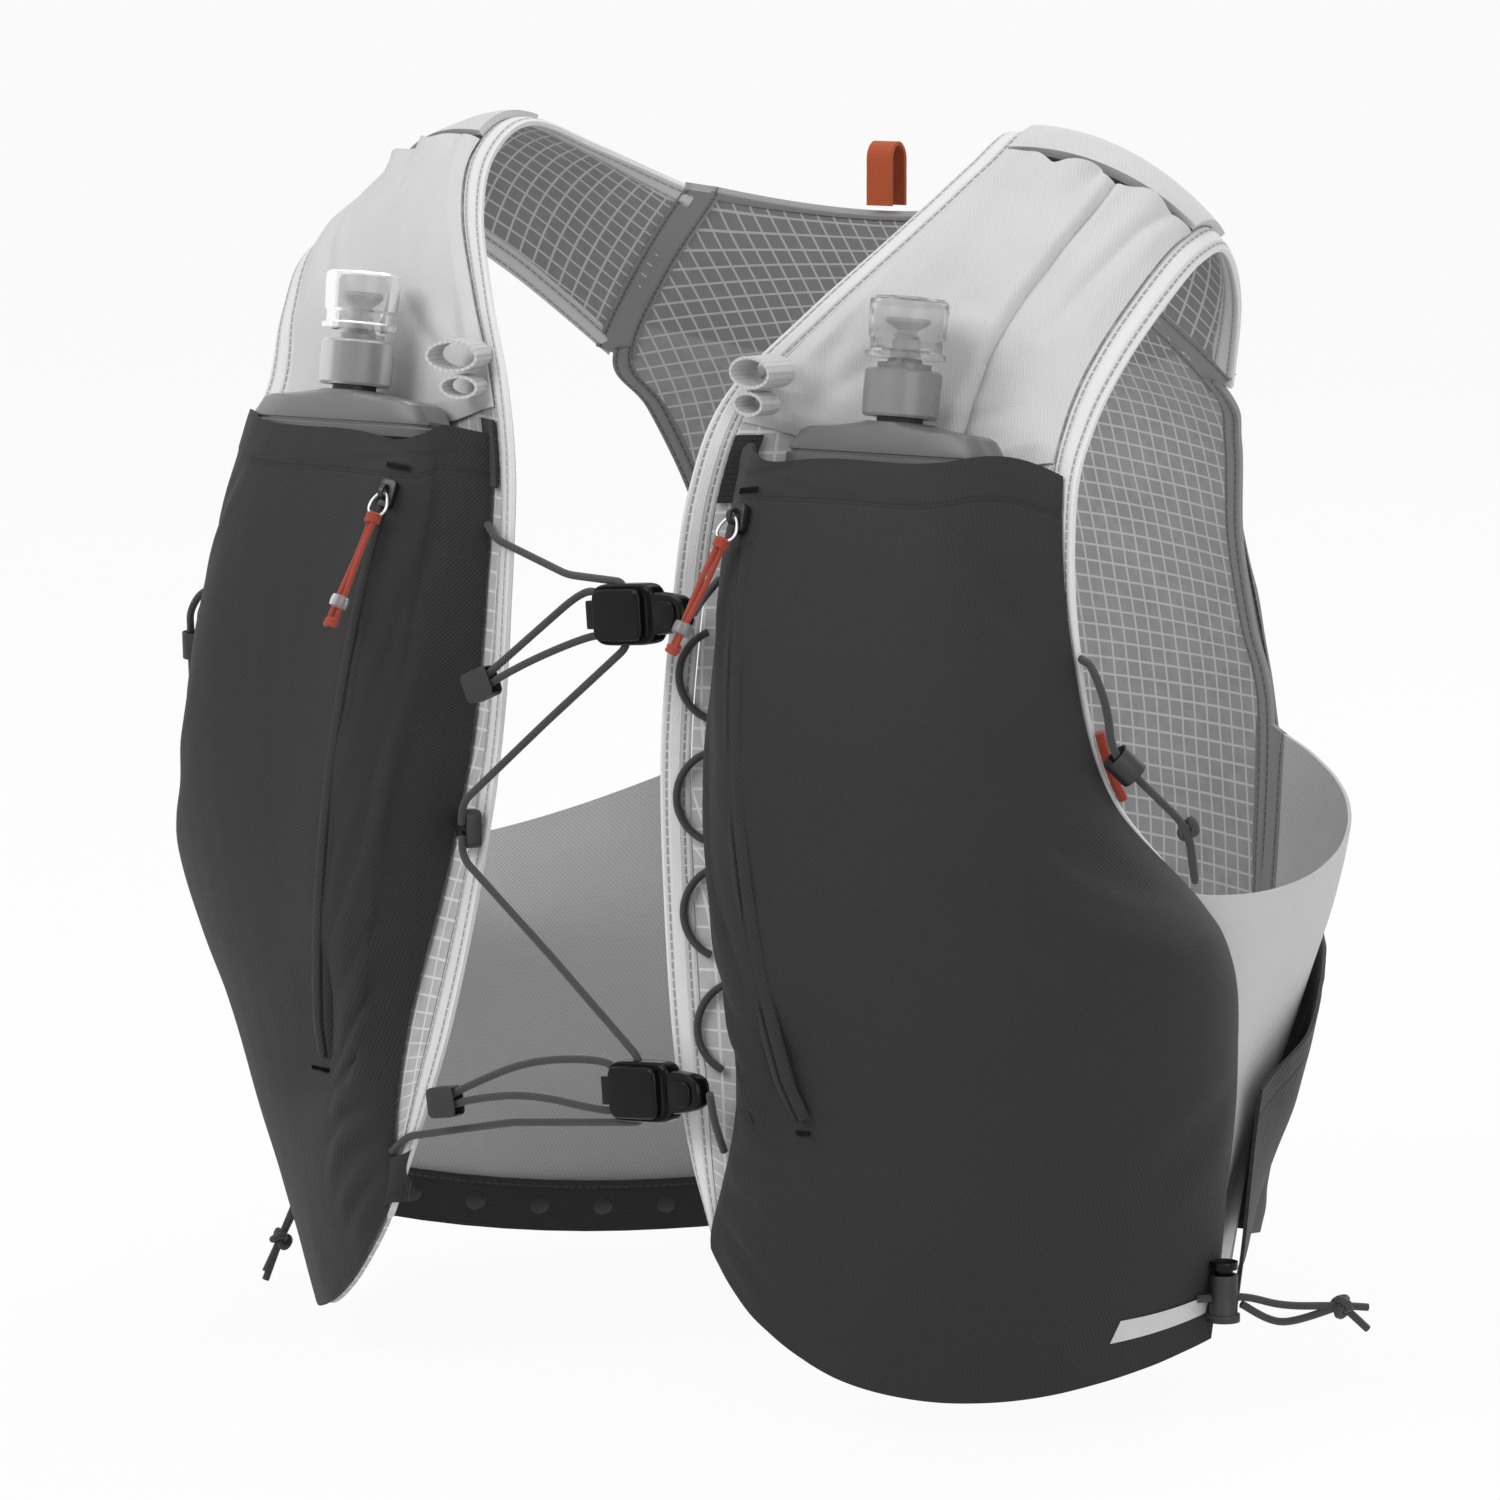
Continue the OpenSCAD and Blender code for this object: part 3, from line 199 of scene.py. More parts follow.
def fade(v, a):
    """0 at both ends of the range from 0 to 1, and 1 from a inside them."""
    return clamp(v / a) * clamp((1 - v) / a)


def hump(x, at, width):
    return np.exp(-((x - at) / width) ** 2)


def xyz(a, b, c):
    return np.stack(np.broadcast_arrays(a, b, c), -1)


def ease(x):
    x = clamp(x)
    return x * x * (3 - 2 * x)


def strap(k, u, s):
    """Points of a front panel: u from its neck edge to its arm edge, s along its stations."""
    u, s = np.broadcast_arrays(u, s)
    return bez(smooth(STRAPS[k], s), u)


def neck_u(k, s, d):
    """The u at d millimetres from the neck edge."""
    r = smooth(STRAPS[k], s)
    return d / (3 * np.linalg.norm(r[..., 1, :] - r[..., 0, :], axis=-1))


def arm_u(k, s, d):
    """The u at d millimetres from the arm edge."""
    r = smooth(STRAPS[k], s)
    return 1 - d / (3 * np.linalg.norm(r[..., 3, :] - r[..., 2, :], axis=-1))


def strap_out(k, u, s):
    e = 0.01
    return unit(np.cross(strap(k, u + e, s) - strap(k, u - e, s),
                         strap(k, u, s + e) - strap(k, u, s - e)))


def raised(k, u, s, lift):
    """Points of the strap, lifted along its outward normal."""
    return strap(k, u, s) + strap_out(k, u, s) * np.asarray(lift, float)[..., None]


def on_strap(s, d, k, lift):
    """A lifted point d millimetres from the neck edge."""
    return raised(k, neck_u(k, s, d), s, lift)


def at_arm(s, d, k, lift):
    """A lifted point d millimetres from the arm edge."""
    return raised(k, arm_u(k, s, d), s, lift)


def across(k, s, w, neck_in=TAPE_IN, arm_in=TAPE_IN):
    """The strap's u at the share w of its width, between insets from its two edges."""
    a = neck_u(k, s, neck_in)
    return a + (arm_u(k, s, arm_in) - a) * w


def mix(a, b, t):
    return a + (b - a) * t


def V(*p):
    return np.array(p, float)


def rounded(p, r=4.0, step=1.2):
    """Straight runs between points, with rounded corners, in even steps."""
    p = [np.asarray(x, float) for x in p]
    out = [p[0]]
    for a, b, c in zip(p, p[1:], p[2:]):
        la, lc = np.linalg.norm(a - b), np.linalg.norm(c - b)
        q, w = b + (a - b) / la * min(r, la / 2), b + (c - b) / lc * min(r, lc / 2)
        for t in np.linspace(0, 1, 9):
            out.append((1 - t) ** 2 * q + 2 * t * (1 - t) * b + t * t * w)
    out = np.array(out + [p[-1]])
    far = along(out, 0)
    at = np.linspace(0, far[-1], max(12, int(far[-1] / step)))
    return np.stack([np.interp(at, far, out[:, i]) for i in range(3)], -1)


def mesh_of(rows, cols):
    return np.meshgrid(np.linspace(0, 1, rows + 1), np.linspace(0, 1, cols + 1), indexing="ij")


def normals(g):
    i, j = np.arange(g.shape[0]), np.arange(g.shape[1])
    a = g[:, np.minimum(j + 1, j[-1])] - g[:, np.maximum(j - 1, 0)]
    b = g[np.minimum(i + 1, i[-1])] - g[np.maximum(i - 1, 0)]
    return unit(np.cross(a, b))


ZIP3 = np.array([[71, -112, 289], [79, -132, 205], [95, -121, 100]], float)
_ab, _ac = ZIP3[1] - ZIP3[0], ZIP3[2] - ZIP3[0]
_n = np.cross(_ab, _ac)
ZIP_C = ZIP3[0] + (np.cross(_n, _ab) * (_ac @ _ac) + np.cross(_ac, _n) * (_ab @ _ab)) / (2 * _n @ _n)
ZIP_AXIS = unit(np.cross(ZIP3[0] - ZIP_C, ZIP3[1] - ZIP_C))
ZIP_SIDE = 1 if ZIP_AXIS[0] > 0 else -1
_a, _b = ZIP3[0] - ZIP_C, ZIP3[2] - ZIP_C
ZIP_SWEEP = math.atan2(np.cross(_a, _b) @ ZIP_AXIS, _a @ _b)


def zip_point(t):
    """The front zip's arc, from its upper end at 0 to its lower end at 1."""
    v, a = ZIP3[0] - ZIP_C, (np.asarray(t, float) * ZIP_SWEEP)[..., None]
    return (ZIP_C + v * np.cos(a) + np.cross(ZIP_AXIS, v) * np.sin(a)
            + ZIP_AXIS * (ZIP_AXIS @ v) * (1 - np.cos(a)))


def zip_out(t):
    return unit(zip_point(t) - ZIP_C)


def pocket_base(k, w, s):
    """The full pocket's surface before it meets its zip."""
    bump = np.maximum(0, 1 - np.abs(2 * w - 1) ** 4) ** 0.7
    return raised(k, across(k, s, w, smooth(NECK_IN, s), smooth(ARM_IN, s)), s,
                  POCKET_LIFT + bump * smooth(RISE, s))


def pocket_point(k, w, s):
    """The pocket's surface, drawn onto the zip's arc near the zip."""
    w, s = np.broadcast_arrays(np.asarray(w, float), np.asarray(s, float))
    p, at_zip = pocket_base(k, w, s), pocket_base(k, np.full(w.shape, ZIP_AT), s)
    t = (ZIP3[0][2] - at_zip[..., 2]) / (ZIP3[0][2] - ZIP3[2][2])
    share = clamp(3 - 2 * np.abs(2 * t - 1))
    near = hump(w, ZIP_AT, ZIP_REACH) * fade(w, 0.1)
    return p + (near * share)[..., None] * (zip_point(np.clip(t, -0.06, 1.06)) - at_zip)


def pocket_top(w):
    """The station of the pocket's upper edge."""
    return smooth(POCKET_TOPS, 4 * np.asarray(w, float))


def back_point(u, s):
    """The back panel: u across from the left, s up its rows."""
    u, s = np.broadcast_arrays(np.asarray(u, float), np.asarray(s, float))
    r, c = smooth(BACK_ROWS, s), 1 - 2 * u
    m = 1 - c * c
    return xyz(r[..., 0] * c, r[..., 1] * (1 - m) + r[..., 3] * m, r[..., 2] * (1 - m) + r[..., 4] * m)


def back_grid(s0, s1, rows, cols, u_in, u_top):
    i, j = mesh_of(rows, cols)
    s = s0 + (s1 - s0) * i
    e = u_in + (u_top - u_in) * clamp((s - YOKE) / 0.15)
    return back_point(e + (1 - 2 * e) * j, s)


def whole_bag(v, s):
    """The bag's face from its left edge to its right one."""
    p = bez(smooth(BAG, s), np.where(v < 0.5, 2 * v, 2 - 2 * v))
    p[..., 0] *= np.where(v < 0.5, 1, -1)
    return p


def whole_rear(v, s):
    """The rear pocket from its left edge to its right one, slack at its lower right."""
    k = np.where(v < 0.5, 10 * v, 10 - 10 * v)
    st = smooth(REAR, s)
    i = np.clip(np.floor(k).astype(int), 0, 4)
    p = catmull(*[np.take_along_axis(st, np.clip(i + q, 0, 5)[..., None, None], -2)[..., 0, :]
                  for q in (-1, 0, 1, 2)], (k - i)[..., None])
    slack = 13 * clamp((3.4 - s) / 3) * clamp(1 - k / 2.5)
    p[..., 0] = np.where(v < 0.5, p[..., 0], -(p[..., 0] - slack))
    return p


def wing_point(k, t, s):
    """A side wing from its seam on the strap to the back panel."""
    r = smooth(WINGS[k], s)
    seam = strap(k, np.ones(np.shape(s)), smooth(WING_SEAM[k], s))
    q = np.stack([seam, r[..., 1, :] + (seam - r[..., 0, :]) * 0.6,
                  r[..., 2, :] + (seam - r[..., 0, :]) * 0.2, r[..., 3, :]], -2)
    return bez(q, t)


def ripple(p, scale, seed):
    """A soft deterministic unevenness, about -1 to 1, over points in millimetres."""
    rng = np.random.RandomState(seed)
    out = 0
    for _ in range(6):
        way = unit(rng.normal(size=3)) * (0.6 + 0.9 * rng.rand()) * 2 * pi / scale
        out = out + np.sin(p @ way + rng.rand() * 7) * (0.3 + 0.3 * rng.rand())
    return out / 1.6


def crease(x, y, x0, y0, x1, y1, width, depth):
    """A fold from (x0, y0) to (x1, y1), sharp on its line and faded at its ends."""
    x, y, dx, dy = x - x0, y - y0, x1 - x0, y1 - y0
    t = clamp((x * dx + y * dy) / (dx * dx + dy * dy))
    off = np.hypot(x - t * dx, y - t * dy)
    side = np.sign(x * dy - y * dx)
    fade = np.sin(pi * (0.06 + 0.88 * t)) ** 0.8
    r = off / width
    return depth * fade * (-np.exp(-r * r * 2.2) + 0.55 * np.exp(-((r - 1.5) ** 2) * 1.6)
                           * (0.7 + 0.3 * side))


# ---------------------------------------------------------------- materials
class Val:
    """A value in a node tree; arithmetic on it adds Math nodes."""
    def __init__(self, t, out):
        self.t, self.out = t, out

    def op(self, what, other=None, swap=False):
        a, b = (other, self) if swap else (self, other)
        return Val(self.t, N(self.t, "Math", a, b, operation=what).outputs[0])

    def __add__(self, other):
        return self.op("ADD", other)

    def __sub__(self, other):
        return self.op("SUBTRACT", other)

    def __rsub__(self, other):
        return self.op("SUBTRACT", other, True)

    def __mul__(self, other):
        return self.op("MULTIPLY", other)

    def __truediv__(self, other):
        return self.op("DIVIDE", other)


def plug(t, value, socket):
    """Links a value to a socket, or sets a plain one on it."""
    value = getattr(value, "out", value)
    if isinstance(value, bpy.types.NodeSocket):
        t.links.new(value, socket)
    elif value is not None:
        socket.default_value = value


def N(t, kind, *values, **props):
    n = t.nodes.new("ShaderNode" + kind)
    for key, value in props.items():
        setattr(n, key, value)
    for i, value in enumerate(values):
        plug(t, value, n.inputs[i])
    return n


def blend_colour(t, fac, a, b):
    n = N(t, "Mix", data_type="RGBA")
    for i, value in ((0, fac), (6, a), (7, b)):
        plug(t, value, n.inputs[i])
    return n.outputs[2]


def rgb(hexa):
    c = [int(hexa[i:i + 2], 16) / 255 for i in (0, 2, 4)]
    return [x / 12.92 if x < 0.04045 else ((x + 0.055) / 1.055) ** 2.4 for x in c] + [1]


def tone(colour, k, plus=0):
    return [min(1, c * k + plus) for c in colour[:3]] + [1]


def uv(t, name="UVMap"):
    s = N(t, "SeparateXYZ", N(t, "UVMap", uv_map=name).outputs[0])
    return Val(t, s.outputs[0]), Val(t, s.outputs[1])


def noise(t, scale, detail=3):
    n = N(t, "TexNoise", N(t, "TexCoord").outputs[3])
    n.inputs["Scale"].default_value = scale
    n.inputs["Detail"].default_value = detail
    return Val(t, n.outputs["Fac"])


def wave(x, pitch):
    """0 to 1 and back over each pitch."""
    return (x / (pitch / 2)).op("PINGPONG", 1.0)


def span(x, *limits):
    """Maps x linearly: low, high, value at low, value at high."""
    return Val(x.t, N(x.t, "MapRange", x, *limits).outputs[0])


def band(x, low, high, soft):
    """1 between low and high."""
    return span(x, low - soft, low + soft, 0.0, 1.0) * span(x, high - soft, high + soft, 1.0, 0.0)


def start(name, colour, rough, **sockets):
    m = bpy.data.materials.new(name)
    m.use_nodes = True
    m.diffuse_color = colour
    b = m.node_tree.nodes["Principled BSDF"]
    for key, value in {"Base_Color": colour, "Roughness": rough, **sockets}.items():
        b.inputs[key.replace("_", " ")].default_value = value
    return m, m.node_tree, b


def bump(t, b, height, distance, strength):
    n = N(t, "Bump")
    n.inputs["Strength"].default_value = strength
    n.inputs["Distance"].default_value = distance
    plug(t, height, n.inputs["Height"])
    t.links.new(n.outputs[0], b.inputs["Normal"])


def fabric(name, colour, pale=None, weave=(1.2, 1.2), depth=0.25, rough=0.85, sheen=0.15,
           contrast=0.25, twill=False, stitch=(), ribs=0, grid=0, grid_pale=None, patches=0.12,
           dark_top=0):
    """Woven cloth. Its UVs are millimetres; its second UVs are millimetres from the sides."""
    colour = rgb(colour)
    pale = rgb(pale) if pale else tone(colour, 1.6, 0.01)
    m, t, b = start(name, colour, rough, Sheen_Weight=sheen, Sheen_Roughness=0.5)
    x, y = uv(t)
    if twill:
        threads = wave(x + y * 0.5, weave[0]) * (wave(y, weave[1]) * 0.45 + 0.55)
    else:
        threads = wave(x, weave[0]) * wave(y, weave[1])
    fac = (threads * contrast + (noise(t, 28) - 0.5) * (patches * 2)
           + (noise(t, 900, 2) - 0.5) * (0.5 * contrast))
    out = blend_colour(t, N(t, "Clamp", fac).outputs[0], colour, pale)
    height = threads * depth
    if ribs:
        rib = wave(y, ribs)
        height = height + rib * 0.5
        out = blend_colour(t, (1.0 - rib) * 0.35, out, tone(colour, 0.55))
    if grid:
        across_x, across_y = [wave(q, grid).op("GREATER_THAN", 0.86) for q in (x, y)]
        both = across_x.op("MAXIMUM", across_y)
        cell = N(t, "CombineXYZ", *[(q / grid).op("FLOOR") for q in (x, y)])
        shade = Val(t, N(t, "TexWhiteNoise", cell.outputs[0]).outputs["Value"])
        out = blend_colour(t, shade * (noise(t, 22) * 0.5), out, tone(colour, 0.6))
        if dark_top:
            near_top = span(uv(t, "Edge")[1], dark_top - 1, dark_top + 1, 0.5, 0.0)
            out = blend_colour(t, near_top, out, tone(colour, 0.42))
        out = blend_colour(t, both * 0.8, out, rgb(grid_pale))
        height = height + both * 0.5
    for source, at, length, dark in stitch:
        ex, ey = uv(t, "Edge")
        d, along = (ex, y) if source == "side" else (ey, x)
        dash = band(d, at - 0.35, at + 0.35, 0.12) * band(wave(along, length), 0.22, 1.2, 0.06)
        groove = band(d, at - 0.9, at + 0.9, 0.5)
        # Painted shade: the colour darkens along the stitch's groove, where the bump sinks the cloth.
        out = blend_colour(t, groove * 0.3, out, tone(colour, 0.5))
        out = blend_colour(t, dash * 0.85, out, rgb(dark))
        height = height - groove * 0.9 + dash * 0.9
    t.links.new(out, b.inputs["Base Color"])
    bump(t, b, height, 0.0006, 0.6)
    return m


def plastic(name, colour, rough, fleck=0.12, grain=0.00004, scale=160, **sockets):
    colour = rgb(colour)
    m, t, b = start(name, colour, rough, **sockets)
    n = noise(t, scale)
    t.links.new(blend_colour(t, n * (fleck * 2), colour, tone(colour, 1.5, 0.02)),
                b.inputs["Base Color"])
    plug(t, span(noise(t, scale / 4), 0.3, 0.7, max(0, rough - 0.05), rough + 0.08),
         b.inputs["Roughness"])
    bump(t, b, n, grain, 0.5)
    return m


def braid(name, colour, pale):
    """Elastic cord: two sets of strands round the tube. Its UVs are turns and millimetres."""
    colour = rgb(colour)
    m, t, b = start(name, colour, 0.75, Sheen_Weight=0.2)
    x, y = uv(t)
    x, slant = x * 8.0, y * 1.3
    strands = wave(x + slant, 2.0) * wave(x - slant, 2.0)
    t.links.new(blend_colour(t, strands, colour, rgb(pale)), b.inputs["Base Color"])
    bump(t, b, strands, 0.0003, 0.7)
    return m


M = {
    "pocket": fabric("pocket_stretch", "191919", "2e2e2e", (1.3, 1.1), 0.5, 0.85, 0.05,
                     0.5, True, [("end", 14, 3.0, "1d1d1d")], patches=0.08),
    "pocket_inside": fabric("pocket_lining", "303030", None, (1.6, 1.6), 0.3),
    "light": fabric("strap_stretch", "c6c6c6", "dadada", (1.1, 1.1), 0.25, 0.8, 0.15,
                    0.4, True, patches=0.25),
    "binding": fabric("edge_binding", "dcdcdc", "ececec", (0.9, 0.9), 0.25, 0.8, 0.15,
                      0.3, stitch=[("side", 2.0, 3.0, "8f8f8f")], patches=0.15),
    "liner": fabric("ripstop_liner", "a4a4a4", "b4b4b4", (0.8, 0.8), 0.12, 0.6, 0.1,
                    0.25, grid=6.0, grid_pale="dadada", patches=0.2, dark_top=72),
    "light_rip": fabric("ripstop_light", "bdbdbd", "cdcdcd", (0.8, 0.8), 0.12, 0.6, 0.1,
                        0.25, grid=6.4, grid_pale="e6e6e6", patches=0.2),
    "grey_binding": fabric("neck_binding", "909090", "a4a4a4", (0.9, 0.9), 0.25,
                           stitch=[("side", 1.6, 3.0, "555555")]),
    "wing": fabric("wing_stretch", "c4c4c4", "d8d8d8", (1.2, 1.2), 0.4, 0.8, 0.15,
                   0.45, True, patches=0.15),
    "wing_in": fabric("wing_inside", "bebebe", "dadada", (1.5, 1.5), 0.4, 0.85, 0.1,
                      0.6, True, patches=0.2),
    "bag": fabric("bag_ripstop", "353535", "454545", (0.8, 0.8), 0.15, 0.6, 0.1, 0.3,
                  grid=6.0, grid_pale="555555", patches=0.25),
    "rear": fabric("rear_stretch", "1b1b1b", "353535", (1.8, 1.8), 0.5, 0.85, 0.1,
                   0.55, True, [("end", 8, 3.0, "151515")]),
    "elastic": fabric("hem_elastic", "222222", "383838", (1.0, 1.6), 0.4, 0.85, 0.1,
                      0.4, stitch=[("end", 2.2, 3.0, "484848")]),
    "webbing": fabric("loop_webbing", "c6c6c6", "d8d8d8", (1.0, 1.0), 0.4, ribs=2.0),
    "orange": fabric("orange_tape", "a8481f", "bc5c34", (0.8, 0.8), 0.3),
    "dark_tab": fabric("dark_tape", "1c1c1c", "303030", (1.0, 1.0), 0.4, ribs=1.8),
    "foam": fabric("pad_mesh", "1e1e1e", "3a3a3a", (3.0, 3.0), 1.0),
    "sleeve": fabric("sleeve_nylon", "8b8b8b", "a0a0a0", (0.8, 0.8), 0.2, 0.5),
    "stripe": plastic("reflective_print", "c8c8c8", 0.35, 0.1),
    "cord": braid("elastic_cord", "242424", "4e4e4e"),
    "orange_cord": braid("orange_cord", "8c2a14", "bc482c"),
    "gloss": plastic("gloss_black", "0c0c0c", 0.2, 0.05, Specular_IOR_Level=0.16),
    "matte": plastic("matte_black", "1b1b1b", 0.5, 0.1, 0.0001, 400),
    "steel": plastic("steel_wire", "b8b8b8", 0.28, 0.05, Metallic=1.0),
    "slider": plastic("slider_metal", "3c3c3c", 0.35, 0.1, Metallic=0.9),
    "coil": plastic("zip_coil", "161616", 0.45, 0.1),
    "flask": plastic("flask_tpu", "909090", 0.32, 0.08, 0.0002, 60, Transmission_Weight=0.45,
                     IOR=1.45),
    "shoulder": plastic("flask_shoulder", "646464", 0.3, 0.06, 0.0001, 120,
                        Transmission_Weight=0.15, IOR=1.45),
    "cap": plastic("flask_cap", "9c9c9c", 0.28, 0.05, 0.00005, 120,
                   Transmission_Weight=0.45, IOR=1.45),
    "valve": plastic("bite_valve", "a8a8a8", 0.35, 0.05, 0.00005, 120,
                     Transmission_Weight=0.4, IOR=1.4),
    "clear": plastic("clear_cover", "e9e9e9", 0.12, 0.02, 0.00003, 80,
                     Transmission_Weight=0.92, IOR=1.35),
    "bead": plastic("clear_bead", "9a9a9a", 0.25, 0.05, Transmission_Weight=0.5, IOR=1.45),
    "dots": plastic("silicone_dots", "161616", 0.5, 0.05),
}


# ---------------------------------------------------------------- building pieces
def skin(rings, sides, close=False):
    """Faces between rings of points, with end caps unless the last ring joins the first."""
    faces = [[i * sides + k, i * sides + (k + 1) % sides, (i + 1) % rings * sides + (k + 1) % sides,
              (i + 1) % rings * sides + k] for i in range(rings - (not close)) for k in range(sides)]
    if not close:
        faces += [list(range(sides))[::-1], [(rings - 1) * sides + k for k in range(sides)]]
    return faces


def add(name, verts, faces, mats, body="vest", replaces=(), uvs=None, index=None,
        edge=None, matrix=None, sharp=40):
    me = bpy.data.meshes.new(name)
    v = np.asarray(verts, float) * MM
    me.from_pydata(v.tolist(), [], faces)
    for m in [mats] if isinstance(mats, str) else mats:
        me.materials.append(M[m])
    for title, values in (("UVMap", uvs), ("Edge", edge)):
        if values is None:
            continue
        layer = me.uv_layers.new(name=title)
        loops = np.empty(len(me.loops), int)
        me.loops.foreach_get("vertex_index", loops)
        layer.data.foreach_set("uv", np.asarray(values, float)[loops].ravel())
    if index is not None:
        me.polygons.foreach_set("material_index", index)
    me.polygons.foreach_set("use_smooth", [True] * len(me.polygons))
    me.set_sharp_from_angle(angle=math.radians(sharp))
    me.validate()
    o = bpy.data.objects.new(name, me)
    scene.collection.objects.link(o)
    if matrix is not None:
        me.transform(matrix)
    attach(o, body)
    if replaces:
        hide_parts(*([replaces] if isinstance(replaces, str) else replaces))
    return o


def along(g, axis):
    """Distances along the rows or columns of a grid, or along a line, from its first point."""
    steps = np.linalg.norm(np.diff(g, axis=axis), axis=-1)
    first = np.zeros_like(np.take(steps, [0], axis))
    return np.concatenate([first, np.cumsum(steps, axis)], axis)


def cloth(name, g, low, high, mats, replaces, flip=False, lift=None, turn_uv=False):
    """A sheet between the offsets low and high of a grid; lift moves each point along its normal."""
    n, m = g.shape[:2]
    nor = normals(g)
    if lift is not None:
        g = g + nor * np.asarray(lift)[..., None]
        nor = normals(g)
    grow = lambda h: g + nor * np.broadcast_to(h, (n, m))[..., None]
    v = np.concatenate([grow(high).reshape(-1, 3), grow(low).reshape(-1, 3)])
    if flip:
        v[:, 0] *= -1
    c = n * m
    i, j = np.meshgrid(np.arange(n - 1), np.arange(m - 1), indexing="ij")
    a = (i * m + j).ravel()
    top = np.stack([a, a + 1, a + m + 1, a + m], 1)
    under = top[:, ::-1] + c
    k, q, e = np.arange(n - 1) * m, np.arange(m - 1), (n - 1) * m
    rim = np.concatenate([
        np.stack([k, k + m, k + m + c, k + c], 1),
        np.stack([k + m - 1, k + m - 1 + c, k + 2 * m - 1 + c, k + 2 * m - 1], 1),
        np.stack([q, q + c, q + 1 + c, q + 1], 1),
        np.stack([e + q, e + q + 1, e + q + 1 + c, e + q + c], 1)])
    faces = np.concatenate([top, under, rim])
    if flip:
        faces = faces[:, ::-1]
    index = np.concatenate([np.zeros(len(top)), np.full(len(under), 1 if len(mats) > 1 else 0),
                            np.zeros(len(rim))]).astype(int)
    x, y = along(g, 1), along(g, 0)
    width = x[:, -1:]
    middle = y[:, m // 2][:, None] * np.ones((1, m))
    xc = x - width / 2
    pair = np.stack([middle, xc] if turn_uv else [xc, middle], -1).reshape(-1, 2)
    edge = np.stack([np.minimum(x, width - x), y[-1:] - y], -1).reshape(-1, 2)
    return add(name, v, faces.tolist(), mats, "vest", replaces,
               np.concatenate([pair, pair]), index, np.concatenate([edge, edge]))


def tube(name, path, r, mat, body="vest", replaces=(), sides=12, side=(0.31, 0.17, 0.93),
         close=False, flip=False, matrix=None):
    """A round tube along points, with parallel rings. Returns the piece and its path in metres."""
    p = np.asarray(path, float).copy()
    if flip:
        p[:, 0] *= -1
    n = len(p)
    t = unit(np.roll(p, -1, 0) - np.roll(p, 1, 0)) if close else unit(np.gradient(p, axis=0))
    a = unit(np.cross(t[0], side))
    ang = np.arange(sides) * 2 * pi / sides
    rings = []
    for i in range(n):
        a = unit(a - t[i] * (a @ t[i]))
        b = np.cross(t[i], a)
        rings.append(p[i] + r * (np.cos(ang)[:, None] * a + np.sin(ang)[:, None] * b))
    long = along(p, 0)
    uvs = np.stack([np.tile(np.abs(2 * np.arange(sides) / sides - 1), n), np.repeat(long, sides)], 1)
    o = add(name, np.concatenate(rings), skin(n, sides, close), mat, body, replaces, uvs,
            matrix=matrix)
    return o, (p * MM).tolist(), float(long[-1]) * MM


def curve(p, steps):
    p = np.asarray(p, float)
    return smooth(p, np.linspace(0, len(p) - 1, steps + 1))


def turned(name, base, pairs, mat, matrix, body, replaces=(), sides=56):
    """A turned form from flat radius and height numbers above base, hollow if they close."""
    profile = list(zip(pairs[::2], pairs[1::2]))
    closed = profile[0] == profile[-1]
    if closed:
        profile.pop()
    v = [(r * cos(a), r * sin(a), base + z) for r, z in profile
         for a in np.arange(sides) * 2 * pi / sides]
    return add(name, v, skin(len(profile), sides, closed), mat, body, replaces, matrix=matrix,
               sharp=35)


def refined(node, mat, body, bevel=0.5, parts=2):
    """A CAD part's own shape with softened edges."""
    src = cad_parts[node].data
    bm = bmesh.new()
    bm.from_mesh(src)
    bmesh.ops.remove_doubles(bm, verts=bm.verts, dist=1e-6)
    bmesh.ops.dissolve_limit(bm, angle_limit=math.radians(2), verts=bm.verts, edges=bm.edges)
    me = bpy.data.meshes.new(node + "_finish")
    bm.to_mesh(me)
    bm.free()
    me.materials.clear()
    me.materials.append(M[mat])
    o = bpy.data.objects.new(node + "_finish", me)
    scene.collection.objects.link(o)
    mod = o.modifiers.new("bevel", "BEVEL")
    mod.width, mod.segments, mod.limit_method = bevel * MM, parts, "ANGLE"
    mod.angle_limit, mod.use_clamp_overlap = math.radians(38), True
    bpy.context.view_layer.update()
    done = bpy.data.meshes.new_from_object(o.evaluated_get(bpy.context.evaluated_depsgraph_get()))
    o.modifiers.clear()
    o.data = done
    done.polygons.foreach_set("use_smooth", [True] * len(done.polygons))
    done.set_sharp_from_angle(angle=math.radians(35))
    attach(o, body)
    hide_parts(node)
    return o


def placed(at, x, z):
    ex = unit(x)
    ey = unit(np.cross(z, ex))
    ez = np.cross(ex, ey)
    m = np.eye(4)
    m[:3, 0], m[:3, 1], m[:3, 2], m[:3, 3] = ex, ey, ez, np.asarray(at) * MM
    return Matrix(m.tolist())


def moved(p):
    return Matrix.Translation(Vector(p) * MM)


def spin(degrees, axis):
    return Matrix.Rotation(math.radians(degrees), 4, axis)


def flipped(k, m):
    return Matrix.Scale(-1, 4, (1, 0, 0)) @ m if k else m


def knot(name, at, way):
    t = np.linspace(0, 2 * pi, 64, endpoint=False)
    p = np.stack([np.sin(t) + 2 * np.sin(2 * t), np.cos(t) - 2 * np.cos(2 * t), -1.6 * np.sin(3 * t)], 1)
    m = placed(at, way, (0.1, 0.2, 0.97))
    rot = np.array(m.to_3x3()) @ np.array([[0, 0, 1], [1, 0, 0], [0, 1, 0]])
    return tube(name, p * KNOT_SIZE @ rot.T + at, CORD_R, "cord", sides=8, close=True)[0]
